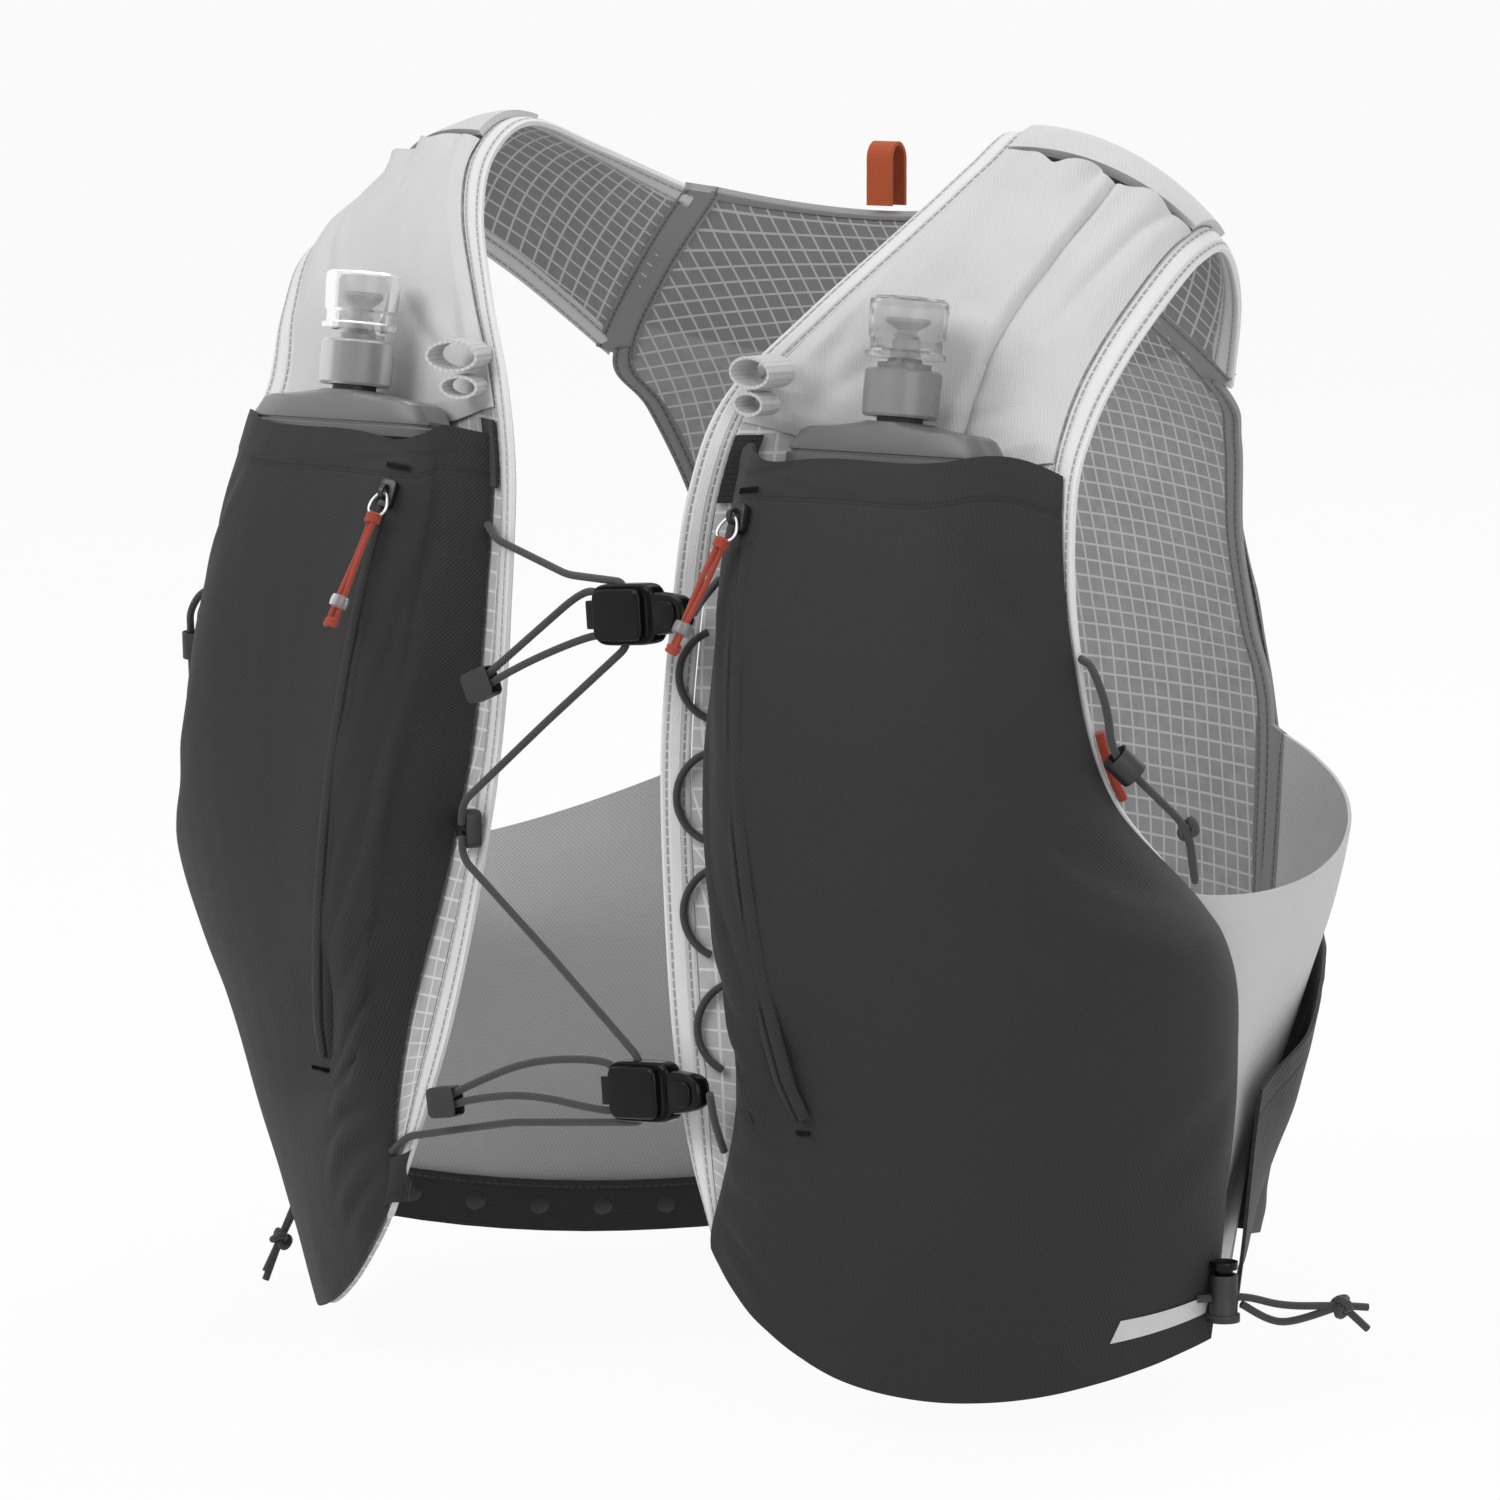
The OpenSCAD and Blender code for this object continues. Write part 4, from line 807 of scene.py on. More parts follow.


# ---------------------------------------------------------------- cords
CORD_LIFT = TAPE_T / 2 + GAP + CORD_R
KEEPER_ST, KEEPER_T = 3.35, 5
flip_x = lambda p: p * V(-1, 1, 1)
LOCKS = {"upper": np.array([33, -126, 254.0]), "lower": np.array([44, -133, 105.0])}
TAILS = {"upper": np.array([-26, -126, 228.0]), "lower": np.array([-36, -133, 93.0])}
LOCK_EX = unit([1, -0.04, 0.08])
LOCK_EZ = unit(np.cross(LOCK_EX, np.cross([0, 0, 1], LOCK_EX)))
MID_HOOK = flip_x(on_strap(KEEPER_ST, 3, 1, TAPE_T / 2 + 1.2 + KEEPER_T / 2))
LACE_TOP, LACE_LOW = 5.52, 0.86
lace_start = flip_x(on_strap(LACE_TOP, 15.6, 1, CORD_LIFT))
lace_end = flip_x(on_strap(LACE_LOW, 12.6, 1, CORD_LIFT))


def free_cord(name, path, far_end, node, lay="taut", turn=4.0, flip=False, side=(0, 1, 0)):
    o, line, long = tube(name, rounded(path, turn), CORD_R, "cord", "vest", node,
                         side=side, flip=flip)
    return o, dict(exit=line[0], length=round(long, 4), diameter=CORD_D * MM, far_end=far_end,
                   stiffness="limp", lay=lay, path=line)


def through(lock):
    """The points where a lace runs through a lock's bore, and their middle."""
    b, half = lock - 2 * LOCK_EX, LOCK_EZ * (LOCK_H / 2 + 1.5)
    return [b + half, b - half], b


pts, b_up = through(LOCKS["upper"])
free_cord("lace_cord_upper", [
    lace_start, flip_x(on_strap(LACE_TOP - 0.1, 4, 1, CORD_LIFT + 1)),
    mix(lace_start, b_up, 0.6) + V(0, -1, 1), *pts, mix(b_up, MID_HOOK, 0.5) + V(0, -1, 0),
    MID_HOOK + V(1, -5, 9), MID_HOOK + V(0, -4.3, 1.8)], "object", "lace_upper")
pts, b_low = through(LOCKS["lower"])
free_cord("lace_cord_lower", [
    MID_HOOK + V(0, -4.3, -1.8), MID_HOOK + V(1, -5, -9), mix(b_low, MID_HOOK, 0.5) + V(0, -1, 0),
    *pts, mix(b_low, lace_end, 0.5) + V(0, -1, 0),
    flip_x(on_strap(LACE_LOW, 3, 1, CORD_LIFT + 0.4)), lace_end], "object", "lace_lower")
for w, rise in (("upper", 3), ("lower", 8)):
    a, stop = LOCKS[w] - LOCK_EX * LOCK_L / 2, TAILS[w]
    up = [a + LOCK_EX * 1.5 + LOCK_EZ * 6.4, a - LOCK_EX * 6 + LOCK_EZ * (7 + rise / 3),
          mix(a, stop, 0.5) + V(0, -1, 3.6 + rise), mix(a, stop, 0.85) + V(0, 0, 2 + rise * 0.4),
          stop + V(0, 0, 1.7)]
    down = [stop - V(0, 0, 1.7), mix(a, stop, 0.85) + V(0, 0, -2 + rise * 0.3),
            mix(a, stop, 0.5) + V(0, -1, -4 + rise * 0.6), a - LOCK_EX * 6 - LOCK_EZ * 7,
            a + LOCK_EX * 1.5 - LOCK_EZ * 6.4]
    free_cord("tail_" + w, up + [stop + unit(stop - a) * 1.7] + down, "object",
                                   "tail_cord_" + w, lay="hanging", turn=16)
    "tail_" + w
SIDE_ST = 4.9
SIDE_OUT = [V(14, 3, -32), V(14, 3, -20)]
SIDE_DROP = [V(13, 16, -20), V(1, 2, -24)]
side_knots = []
for k, side in enumerate(SIDES):
    e = at_arm(SIDE_ST, -0.35, k, 0)
    b = e + SIDE_OUT[k]
    d = unit(SIDE_DROP[k])
    q = b + SIDE_DROP[k]
    p = [e, e + V(5, -2, -1), e + SIDE_OUT[k] * 0.55 + V(3, -3, 3), b - d * 6, b + d * 6, q,
         q + V(1, 2, -15)]
    off = V(2.2, -2.8, 0)
    t = unit(p[-1] - p[-2])
    both = p + [p[-1] + off / 2 + t * np.linalg.norm(off) / 2] + [x + off for x in p[::-1]]
    free_cord("side_loop_" + side, both, "object", "side_cord_" + side,
                                      lay="hanging", turn=7, flip=k, side=(0.8, 0.6, 0.1))
    side_knots.append((q + off / 2, d))
HEM_RUN = unit([0.62, 0.78, 0])
HEM_FALL = [V(24, 32, -5), V(12, -13, -24)]
HEM_SAG = (-1.5, 9)
hem_ends = []
for k, side in enumerate(SIDES):
    h = at_arm(0.5, 2, k, 0) + V((8.8, 9.7)[k], -3.9, 0)
    stop = h + HEM_FALL[k]
    p = [h - HEM_RUN * 8.5, h, h + HEM_RUN * 8, mix(h, stop, 0.5) + V(0, 0, HEM_SAG[k]), stop,
         stop + unit(stop - h) * 9 + V(0, 0, (0, -4)[k])]
    free_cord("hem_cord_tail_" + side, p, "bare", "hem_cord_" + side,
                                     lay="hanging", turn=9, flip=k, side=(0.1, -0.1, 1))
    hem_ends.append((h, stop, unit(stop - h)))


# ---------------------------------------------------------------- harness, bindings, overlays, pockets
END = len(HARNESS) - 1


def binding(k, s0, s1, neck):
    """Edge tape folded round the panel's edge, thinner towards both edges of its width."""
    i, j = mesh_of(300, 8)
    s, d = s0 + (s1 - s0) * i, (j if neck else 1 - j) * TAPE_W
    g = strap(k, neck_u(k, s, d) if neck else arm_u(k, s, d), s)
    h = TAPE_T / 2 * (1 - 0.55 * np.abs(2 * j - 1) ** 5) * (1 + 0.05 * ripple(g, 30, 3 + k))
    return g, h


def folded(x, y, lift, folds, share=1.0):
    for c in folds:
        lift = lift + crease(x, y, *c) * share
    return lift


for k, side in enumerate(SIDES):
    i, w = mesh_of(220, 36)
    s = 0.03 + (END - 0.06) * i
    arm_in = 0.5 + (TAPE_IN - 0.5) * clamp((s - 3.15) / 0.25)
    g = strap(k, across(k, s, w, TAPE_IN, arm_in), s)
    cloth("harness_panel_" + side, g, -PANEL / 2, PANEL / 2, ["light_rip", "liner"], "harness_" + side,
          flip=k, lift=0.12 * ripple(g, 26, 11 + k))
    for edge, s0 in (("neck", 0.02), ("arm", ARM_TAPE_FROM)):
        g, h = binding(k, s0, END - 0.03, edge == "neck")
        cloth(f"{edge}_binding_{side}", g, -h, h, ["binding"], "strap_tape_" + side,
              flip=k)
    # Shoulder overlay with long pleats, open along its wavy top edge.
    i, w = mesh_of(150, 110)
    s = pocket_top(w) + SEAM_STEP + (OVERLAY_TOP - pocket_top(w) - SEAM_STEP) * i
    open_top = clamp((s - 9.4) / (OVERLAY_TOP - 9.4)) ** 1.6 * clamp(np.sin(pi * w)) ** 0.6
    waves = 3.6 + 1.7 * np.sin(w * 19 + 2 * k) + 0.8 * np.sin(w * 33 + k)
    s_edge = s - 0.07 * open_top * (1 + np.sin(w * 21 + 1 + k))
    g = raised(k, across(k, s, w), s_edge, PANEL / 2 + GAP + 0.2 + open_top * waves)
    x, y = w * 62, (s - 6) * 31
    rim = fade(w, 0.07) * clamp(i / 0.06)
    lift = (1.5 + 0.35 * ripple(g, 24, 21 + k)) * rim
    if k == 0:
        pleat = x - 41 + 3 * y / 140
        rise = clamp(1 + pleat / 18) ** 1.5 * (pleat <= 0)
        lift = lift + rim * (2.4 * rise - 2.6 * hump(pleat, 0, 1.1) - 0.6 * hump(pleat, 4, 4))
    lift = folded(x, y, lift, SHOULDER_FOLDS, rim)
    cloth("shoulder_cover_" + side, g, 0, 0.9, ["light"], "shoulder_overlay_" + side,
          flip=k, lift=np.maximum(lift, -0.35))
    # The cap is the shoulder's own light fabric. The lower dark strip under the overlay's open edge is
    # painted shadow, seen where the wavy edge lifts.
    for name, s0, s1, high in (("cap", 10.3, 11.35, 2.6), ("gap_shadow", 9.9, 10.5, 0.5)):
        i, w = mesh_of(20, 60)
        s = s0 + (s1 - s0) * i
        g = raised(k, across(k, s, w), s, PANEL / 2 + GAP)
        top = high + (1.9 * np.clip(1 - i * 3, 0, 1) * np.sin(pi * w) if name == "cap" else 0 * i)
        cloth(f"shoulder_{name}_{side}", g, 0, top, ["light" if name == "cap" else "dark_tab"], (),
              flip=k)
    # Seam tape where the strap meets the yoke of the back panel.
    i, j = mesh_of(60, 8)
    g = mix(strap(k, i, END - 0.2), back_point(0.035, 10.12 - 2.2 * i), j[..., None])
    cloth("yoke_seam_" + side, g, -1.5, 1.5, ["grey_binding"], (), flip=k)

    # Front pocket.
    i, w = mesh_of(170, 96)
    s = i * (pocket_top(w) - SEAM_STEP * clamp(1 - w / 0.07) ** 1.5)
    g = pocket_point(k, w, s)
    x, y = w * 118, s * 44
    lift = 0.35 * ripple(g, 60, 31 + k) + 0.12 * ripple(g, 17, 33 + k)
    lift = lift + 0.4 * hump(w, 0.2, 0.05) * np.sin(y / 7 + 3 * np.sin(y / 31)) * clamp((5.6 - s) / 2)
    lift = folded(x, y, lift, POCKET_FOLDS, 0.8 if k else 1.0)
    # The sewn seam from the zip's lower end round to the neck edge.
    seam_y = 74 + 9 * np.sin(clamp(x / 32) * pi) - 0.7 * x
    lift = lift - 1.1 * hump(y, seam_y, 1.1) * clamp((36 - x) / 6)
    lift = np.maximum(lift * fade(w, 0.05), -0.6)
    run = clamp((s - 1.75) / 0.3) * clamp((6.05 - s) / 0.25)
    lift = lift + 2.1 * hump(w, ZIP_AT, 0.085) * run
    # The fabric lies flat where the slider stops and its pull hangs.
    flat = clamp(1.6 - np.abs(w - 0.27) / 0.08) * clamp((2.5 - s) / 0.4)
    lift = lift * (1 - flat) - 0.5 * flat
    hem = 0.35 * clamp((s - pocket_top(w) + 0.33) / 0.03)
    cloth("pocket_shell_" + side, g, 0, STRETCH, ["pocket", "pocket_inside"], "front_pocket_" + side,
          flip=k, lift=lift + hem)
    # Zip: two turned-in fabric edges that meet over the coil.
    i, j = mesh_of(150, 12)
    t = 1 - i
    g = zip_point(t) + ZIP_AXIS * ZIP_SIDE * ((j - 0.5) * (ZIP_W + 1.5))[..., None]
    across_zip = np.abs(2 * j - 1)
    sink = 2.0 * clamp((t - 0.93) / 0.07) + 0.9 * clamp((0.05 - t) / 0.05)
    top = ZIP_FACE - 1.5 * across_zip ** 3 - 1.2 * hump(across_zip, 0, 0.1) - sink
    cloth("zip_placket_" + side, g, np.minimum(ZIP_FACE - 2.3, top - 0.3), top, ["pocket"],
          "front_zip_" + side, flip=k)
    # Bar tacks at both ends of the zip.
    for which, (at, long, sunk) in enumerate(((-0.02, 9, 0.2), (1.02, 11, 1.2))):
        p = zip_point(at) + zip_out(at) * (ZIP_FACE - sunk)
        a = ZIP_AXIS * ZIP_SIDE
        zig = [p + a * (long * (q / 40 - 0.5)) + unit(np.cross(a, zip_out(at))) * 0.8
               * (1 if q % 2 else -1) for q in range(41)]
        tube(f"bar_tack_{side}_{which}", zig, 0.28, "coil", sides=6, flip=k)

# On the wearer's right the pocket fabric wraps the lower corner of the strap.
i, j = mesh_of(40, 30)
s = (0.6 + 0.3 * j) * i
d = -1.9 + (smooth(NECK_IN, s) + 9) * j
g = on_strap(s, d, 1, TAPE_T / 2 + 0.6 + 1.2 * np.sin(pi * clamp(j * 1.1)))
cloth("pocket_corner_right", g, -0.3 - 3.4 * clamp(1 - j / 0.15), 0.9, ["pocket"], (),
      flip=True, lift=0.2 * ripple(g, 16, 37))

# The pale printed stripe near the outer lower corner of the wearer's left pocket.
i, j = mesh_of(10, 24)
w, s = 0.83 + 0.15 * j, 0.42 + 0.16 * i - 0.03 * j
g = pocket_point(0, w, s)
cloth("reflective_stripe", g + normals(g) * (STRETCH + 0.5), 0, 0.15, ["stripe"], ())

# ---------------------------------------------------------------- wings, back, bag
for k, side in enumerate(SIDES):
    i, j = mesh_of(90, 130)
    g = wing_point(k, WING_END * j, 4 * i)
    lift = 0.5 * ripple(g, 70, 41 + k) + 0.15 * ripple(g, 22, 43 + k)
    cloth("wing_panel_" + side, g, -STRETCH / 2, STRETCH / 2, ["wing", "wing_in"], "side_wing_" + side,
          flip=k, lift=lift * fade(j, 0.06))
for k, side in enumerate(SIDES):
    i, j = mesh_of(80, 10)
    a = wing_point(k, np.full(i.shape, WING_END - 0.01), 4 * i)
    g = mix(a, back_point(0.035, a[..., 2] / 50), j[..., None])
    cloth("wing_join_" + side, g, -0.8, 0.8, ["grey_binding"], (), flip=k)
g = back_grid(0.05, 10 - 0.12, 200, 120, 0.027, 0.012)
cloth("back_inner", g, -PANEL / 2, PANEL / 2, ["liner"], "back_panel",
      lift=0.25 * ripple(g, 40, 51))
g = back_grid(0.6, 7.1, 60, 50, 0.1, 0.1)
i, j = mesh_of(60, 50)
crown = 0.6 + 0.4 * np.clip(np.minimum.reduce([i, 1 - i, j, 1 - j]) / 0.06, 0, 1) ** 0.5
pad = cloth("back_cushion", g, PANEL / 2 + 1.2, PANEL / 2 + 1.2 + PAD * crown, ["foam"], "back_pad")
g = back_grid(1.2, 6.4, 60, 50, 0.17, 0.17)
cloth("bladder_pocket", g, PAD_TOP + 0.8, PAD_TOP + 1.8, ["sleeve"], "bladder_sleeve",
      lift=0.15 * ripple(g, 30, 53))


def back_binding(name, u, s, width, turn_uv=False):
    """Edge tape on the back panel, thinner at both edges of its width, which runs from 0 to 1."""
    h = TAPE_T / 2 * (1 - 0.5 * np.abs(2 * width - 1) ** 5)
    cloth(name, back_point(u, s), -h, h, ["grey_binding"], "back_tape", turn_uv=turn_uv)


i, j = mesh_of(160, 8)
for k, side in enumerate(SIDES):
    back_binding("side_binding_" + side, 0.97 * k + 0.03 * j, 0.05 + (YOKE + 0.1) * i, j)
i, j = mesh_of(8, 120)
back_binding("neck_binding", 0.01 + 0.98 * j, 10 - 0.09 + 0.27 * i, i, True)

# The bag's sides close the space down to the back panel.
for k, side in enumerate(SIDES):
    i, j = mesh_of(80, 10)
    a = whole_bag(0 * i, 5 * i)
    top = clamp((i - 0.9) / 0.1)
    at_z = np.interp(a[..., 2], BACK_ROWS[:, 2], range(len(BACK_ROWS)))
    b = back_point(0.012 + 0.04 * top, at_z + 0.7 * top) + V(0, 1.8, 0)
    cloth("bag_side_" + side, mix(a, b, j[..., None]), -0.4, 0.4, ["bag"], "bag_shell",
          flip=k)

# Bag: a sagging shell with a zip across its top.
i, v = mesh_of(150, 150)
s = 5 * i
g = whole_bag(v, s)
x, y = (v - 0.5) * 330, s * 60
lift = 0.9 * ripple(g, 75, 61) + 0.3 * ripple(g, 24, 62)
lift = folded(x, y, lift, BAG_FOLDS)
for at in (0.17, 0.83):
    lift = lift - 1.3 * hump(v, at, 0.006) + 0.5 * hump(np.abs(v - at), 0.016, 0.01)
lift = np.maximum(lift, -1.2) * fade(v, 0.04) * clamp(i / 0.03) * clamp((1 - i) / 0.02)
cloth("bag_body", g, 0, STRETCH, ["bag", "pocket_inside"], "bag_shell", lift=lift)


def zip_line(x, y):
    """The line of the bag's top zip, which falls at both ends."""
    e = clamp((np.abs(x) - 66) / 34)
    return xyz(x, 122 + y - 9 * e * e, 317 - 15 * e * e)


i, j = mesh_of(10, 90)
a, b = zip_line(-94 + 188 * j, -4.6), back_point(0.94 - 0.88 * j, 7.8) + V(0, 1, 2.2)
cloth("bag_top", mix(a, b, i[..., None]), 0, 0.9, ["bag"], "bag_shell")
i, j = mesh_of(8, 160)
a = whole_bag(j, np.full(j.shape, 5.0))
x = a[..., 0] * 0.94
b = zip_line(x, 4.6 - 9.2 * ease((np.abs(x) - 61) / 8)) + V(0, 0, 0.3)
cloth("bag_facing", mix(a, b, i[..., None]), -0.5, 0.5, ["bag"], "bag_shell")
# The bag's zip: woven tapes and a row of coil teeth.
face = V(0, 122, 317)
for q in (-1, 1):
    i, j = mesh_of(4, 60)
    g = face + xyz((j - 0.5) * 132, q * 2.2 + (0.5 - i) * 4, 0)
    cloth(f"bag_zip_tape_{'front' if q < 0 else 'rear'}", g, -0.5, 0.5, ["dark_tab"], "bag_zip")
BOX = (0, 2, 3, 1), (4, 5, 7, 6), (0, 1, 5, 4), (2, 6, 7, 3), (0, 4, 6, 2), (1, 3, 7, 5)
teeth_v, teeth_f = [], []
for n in range(78):
    cx, side_y = -58 + 116 * (n + 0.5) / 78, 0.5 if n % 2 else -0.5
    for z, narrow in ((-0.9, 1), (1.1, 0.8)):
        teeth_v += [face + V(cx + x, (y + side_y) * narrow, z) for y in (-1.5, 1.5) for x in (-0.5, 0.5)]
    teeth_f += [[8 * n + q for q in f] for f in BOX]
add("bag_zip_coil", teeth_v, teeth_f, "coil", replaces="bag_zip")

# Rear stash pocket, its stretch fabric drawn round the bag.
i, v = mesh_of(70, 200)
g = whole_rear(v, 3 * i)
lift = 0.7 * ripple(g, 60, 71) + 0.2 * ripple(g, 20, 72)
x, y = (v - 0.5) * 480, 3 * i * 40
lift = folded(x, y, lift, REAR_FOLDS)
lift = np.maximum(lift, -0.5) * fade(v, 0.03)
cloth("stash_pocket", g, 0, STRETCH, ["rear", "pocket_inside"], "rear_pocket",
      lift=lift)


def hem_low(k, q):
    """The lower edge through the left wing, the back and the right wing."""
    if k == 1:
        return back_point(0.08 + 0.84 * q, 0.05)
    p = wing_point(k // 2, 0.04 + 0.92 * (1 - q if k else q), np.full(q.shape, 0.02))
    return p * V(1 - k, 1, 1)


# Hem band with silicone dots on its inner face.
low = np.concatenate([hem_low(k, np.linspace(0, 1, n)) for k, n in enumerate((10, 9, 10))])
inset = [-GAP - (TAPE_T if 7 < k < 11 or 17 < k < 21 else PANEL) / 2 for k in range(29)]
at = np.linspace(0, 28, 253)
low, inset = xyz(*[np.interp(at, range(29), q) for q in low.T]), np.interp(at, range(29), inset)
i, _ = mesh_of(8, 252)
g = low + xyz(0, 0, i * HEM_H)
cloth("hem_elastic", g, inset - 1.4, inset, ["elastic"], "hem_band")
nor, run = normals(g), along(low, 0)
dots, faces = [], []
for d in np.arange(14, run[-1] - 10, 25.0):
    c, out = [V(*[np.interp(d, run, q) for q in rows[4].T]) for rows in (g, nor)]
    out = unit(out)
    c = c + out * (np.interp(d, run, inset) - 1.42)
    side_way = unit(np.cross(out, [0, 0, 1])) * 1.25
    faces += [[len(dots) + q for q in f] for f in skin(3, 14)]
    for r, h in ((3.1, 0), (2.6, 0.35), (1.5, 0.55)):
        dots += [c + side_way * r * cos(a) + V(0, 0, r * sin(a)) - out * h
                 for a in np.arange(14) * 2 * pi / 14]
add("hem_dots", dots, faces, "dots")

# Hang loop: a strip of orange tape folded over.
high, deep = LOOP_H / 2 - 0.6, LOOP_T / 2 - 0.6
path = [[0, -deep, -high], [0, -deep, 0], [0, -deep * 0.9, high * 0.7], [0, 0, high],
        [0, deep * 0.9, high * 0.7], [0, deep, 0], [0, deep, -high]]
ring = curve(path, 60) + V(0, 59, 369 + LOOP_H / 2 + 3)
g = ring[:, None] + xyz(np.linspace(-5, 5, 9), 0, 0)
cloth("hang_tape", g, -0.6, 0.6, ["orange"], "hang_loop")

# ---------------------------------------------------------------- flasks
def power(x, n):
    """x to the power n, with x's sign."""
    return np.sign(x) * np.abs(x) ** n


# Height, and shares of the full width and thickness.
FLASK_SHAPE = np.array([
    (0, 0.72, 0.10), (2.5, 0.86, 0.30), (9, 0.95, 0.62), (26, 1, 0.94), (60, 1, 1), (110, 1, 1),
    (FLASK_L - 26, 0.99, 0.93), (FLASK_L - 16, 0.97, 0.82), (FLASK_L - 13.5, 0.98, 0.80)])
# Rings of the stiff shoulder: height, half width, half thickness.
YOKE_RINGS = [
    (-13.4, 37.6, 9.6), (-12.8, 38.4, 10.6), (-9.8, 38.4, 10.6), (-9.3, 37.8, 10), (-9.1, 36.8, 9.2),
    (-8.6, 36.8, 9.2), (-8.4, 37.6, 9.9), (-7.4, 37.6, 9.9), (-1.2, 33.8, 9.5), (1, 31, 9.3),
    (3.2, 21, 9.2), (4.2, 13, 9), (4.8, 10.6, 8.8)]
CAP_Z, CAP_RAD = FLASK_L + 5.3, 11.9
VALVE_Z = FLASK_L + 8 + GAP + CAP_H
HOOD_Z = VALVE_Z - 2.7


for k, side in enumerate(SIDES):
    place = flipped(k, moved(FLASK_AT) @ spin(-FLASK_LEAN, "X"))
    body, cap, cover = f"flask_{side}_body", "cap_" + side, "cover_" + side
    z = np.linspace(0, FLASK_L - 9.6, 90)
    wide, thick = [np.interp(z, FLASK_SHAPE[:, 0], q)[:, None] for q in FLASK_SHAPE.T[1:]]
    n = 72
    a = np.arange(n) * 2 * pi / n
    pts = xyz(FLASK_W / 2 * wide * power(np.cos(a), 0.75), FLASK_T / 2 * thick * power(np.sin(a), 0.9),
              z[:, None])
    out = unit(pts / V(FLASK_W ** 2, FLASK_T ** 2, 1) * V(1, 1, 0))
    pts = pts - out * (0.35 + 0.35 * ripple(pts, 30, 81 + k))[..., None]
    v = pts.reshape(-1, 3)
    add("flask_bladder_" + side, v, skin(len(z), n), "flask", body, "flask_" + side,
        uvs=v[:, ::2], matrix=place)
    # Stiff shoulder: a rim, a groove, then slopes up to the neck.
    v = []
    for z, rx, ry in YOKE_RINGS:
        n = 0.45 if z < 3 else 0.75
        v += [(rx * power(cos(a), n), ry * power(sin(a), n), FLASK_L + z + 3.2 * clamp((3 - z) / 6))
              for a in np.arange(64) * 2 * pi / 64]
    add("flask_yoke_" + side, v, skin(len(YOKE_RINGS), 64), "shoulder", body, "flask_" + side,
        matrix=place, sharp=28)
    turned("flask_neck_" + side, CAP_Z, [7.2, -1.3, 7.2, 6, 6.4, 6.4, 6.4, 16], "matte", place, body,
           "flask_" + side)
    r, top = CAP_RAD, CAP_H
    turned("flask_top_" + side, CAP_Z, [
        r - 0.6, 1.2, r, 2, r + 0.2, 9, r + 0.1, 15.2, r - 0.8, 16, r - 3.4, 16.2, r - 3.5, 18, 5.6, 18.2,
        4.5, top + 2.6, 4.2, top + 3, 3, top + 3, 3, 17.2, 8, 17, 8.2, 1.2, r - 0.6, 1.2],
        "cap", place, cap, "flask_cap_" + side)
    turned("drink_valve_" + side, VALVE_Z, [
        4.4, 0, 4.4, 2.5, 3.2, 4.5, 3.4, 5.5, 6.2, 7.6, 7, 8.6, 6.8, 9.8, 5, 10, 1.2, 9.4],
        "valve", place, cap, "bite_valve_" + side)
    top = COVER_H
    turned("valve_hood_" + side, HOOD_Z, [
        9.4, 0, 12.4, 0.2, 12.6, 1.8, 11.2, 2.6, 11.2, 5.6, 12, 6.6, 12.4, top - 3, 12.2, top - 0.8,
        11.2, top, 6, top + 0.1, 0.5, top + 0.1, 0.5, top - 1.2, 10.2, top - 1.3, 11, top - 3, 10.6, 6.8,
        9.6, 5.4, 9.4, 0], "clear", place, cover, "valve_cover_" + side)

# ---------------------------------------------------------------- zip sliders and pulls
EYE, RING = 4.1, 4.1


def pull(name, k, at, rot, l, body, node):
    """Wire ring, doubled cord with a wrap, clear bead and a tied end; at the eye, hanging down."""
    base = flipped(k, moved(at) @ rot)
    t = np.linspace(0, 2 * pi, 40, endpoint=False)
    ring = xyz(RING * 0.8 * np.cos(t) * (1 - 0.25 * np.sin(t)), 0, RING * np.sin(t) - RING - 0.2)
    tube(name + "_ring", ring, 0.55, "steel", body, (), sides=10, close=True, matrix=base)
    w = np.linspace(0, 1, 34)
    for letter, way, stands_for in (("a", -1, node), ("b", 1, ())):
        p = xyz(way * 0.85, 0.5 * np.sin(w * 5) * way, -7.4 - (l - 8.4) * w)
        tube(f"{name}_cord_{letter}", p, 0.95, "orange_cord", body, stands_for,
             sides=10, matrix=base)
    w = np.linspace(0, 1, 60)
    p = xyz(2.0 * np.cos(w * 6 * pi), 1.7 * np.sin(w * 6 * pi), -7.6 - 3.0 * w)
    tube(name + "_wrap", p, 0.75, "orange_cord", body, (), sides=8, matrix=base)
    turned(name + "_bead", -l * 0.84, [1.6, -2.2, 2.9, -1.8, 3.1, -0.6, 3.1, 0.6, 2.9, 1.8, 1.6, 2.2],
           "bead", base, body, (), 32)
    p = xyz(1.5 * np.cos(w * 4 * pi), 1.3 * np.sin(w * 4 * pi), -l + 1.6 - 2.4 * w)
    tube(name + "_end", p, 0.95, "orange_cord", body, (), sides=8, matrix=base)


pull_at = zip_point(0.03) + zip_out(0.03) * (ZIP_FACE + GAP + EYE)
for k, side in enumerate(SIDES):
    refined("zip_slider_" + side, "slider", "slider_" + side, 0.35)
    pull("front_pull_" + side, k, pull_at, spin((12, -8)[k], "Y") @ spin(-26, "X"), 46,
         "pull_" + side, "zip_pull_" + side)
refined("bag_slider", "slider", "bag_slider_body", 0.35)
pull("rear_pull", 0, face + V(-50, 0, 1.1 + GAP + EYE), spin(88, "Y") @ spin(90, "Z"), 30,
     "bag_pull_body", "bag_pull")

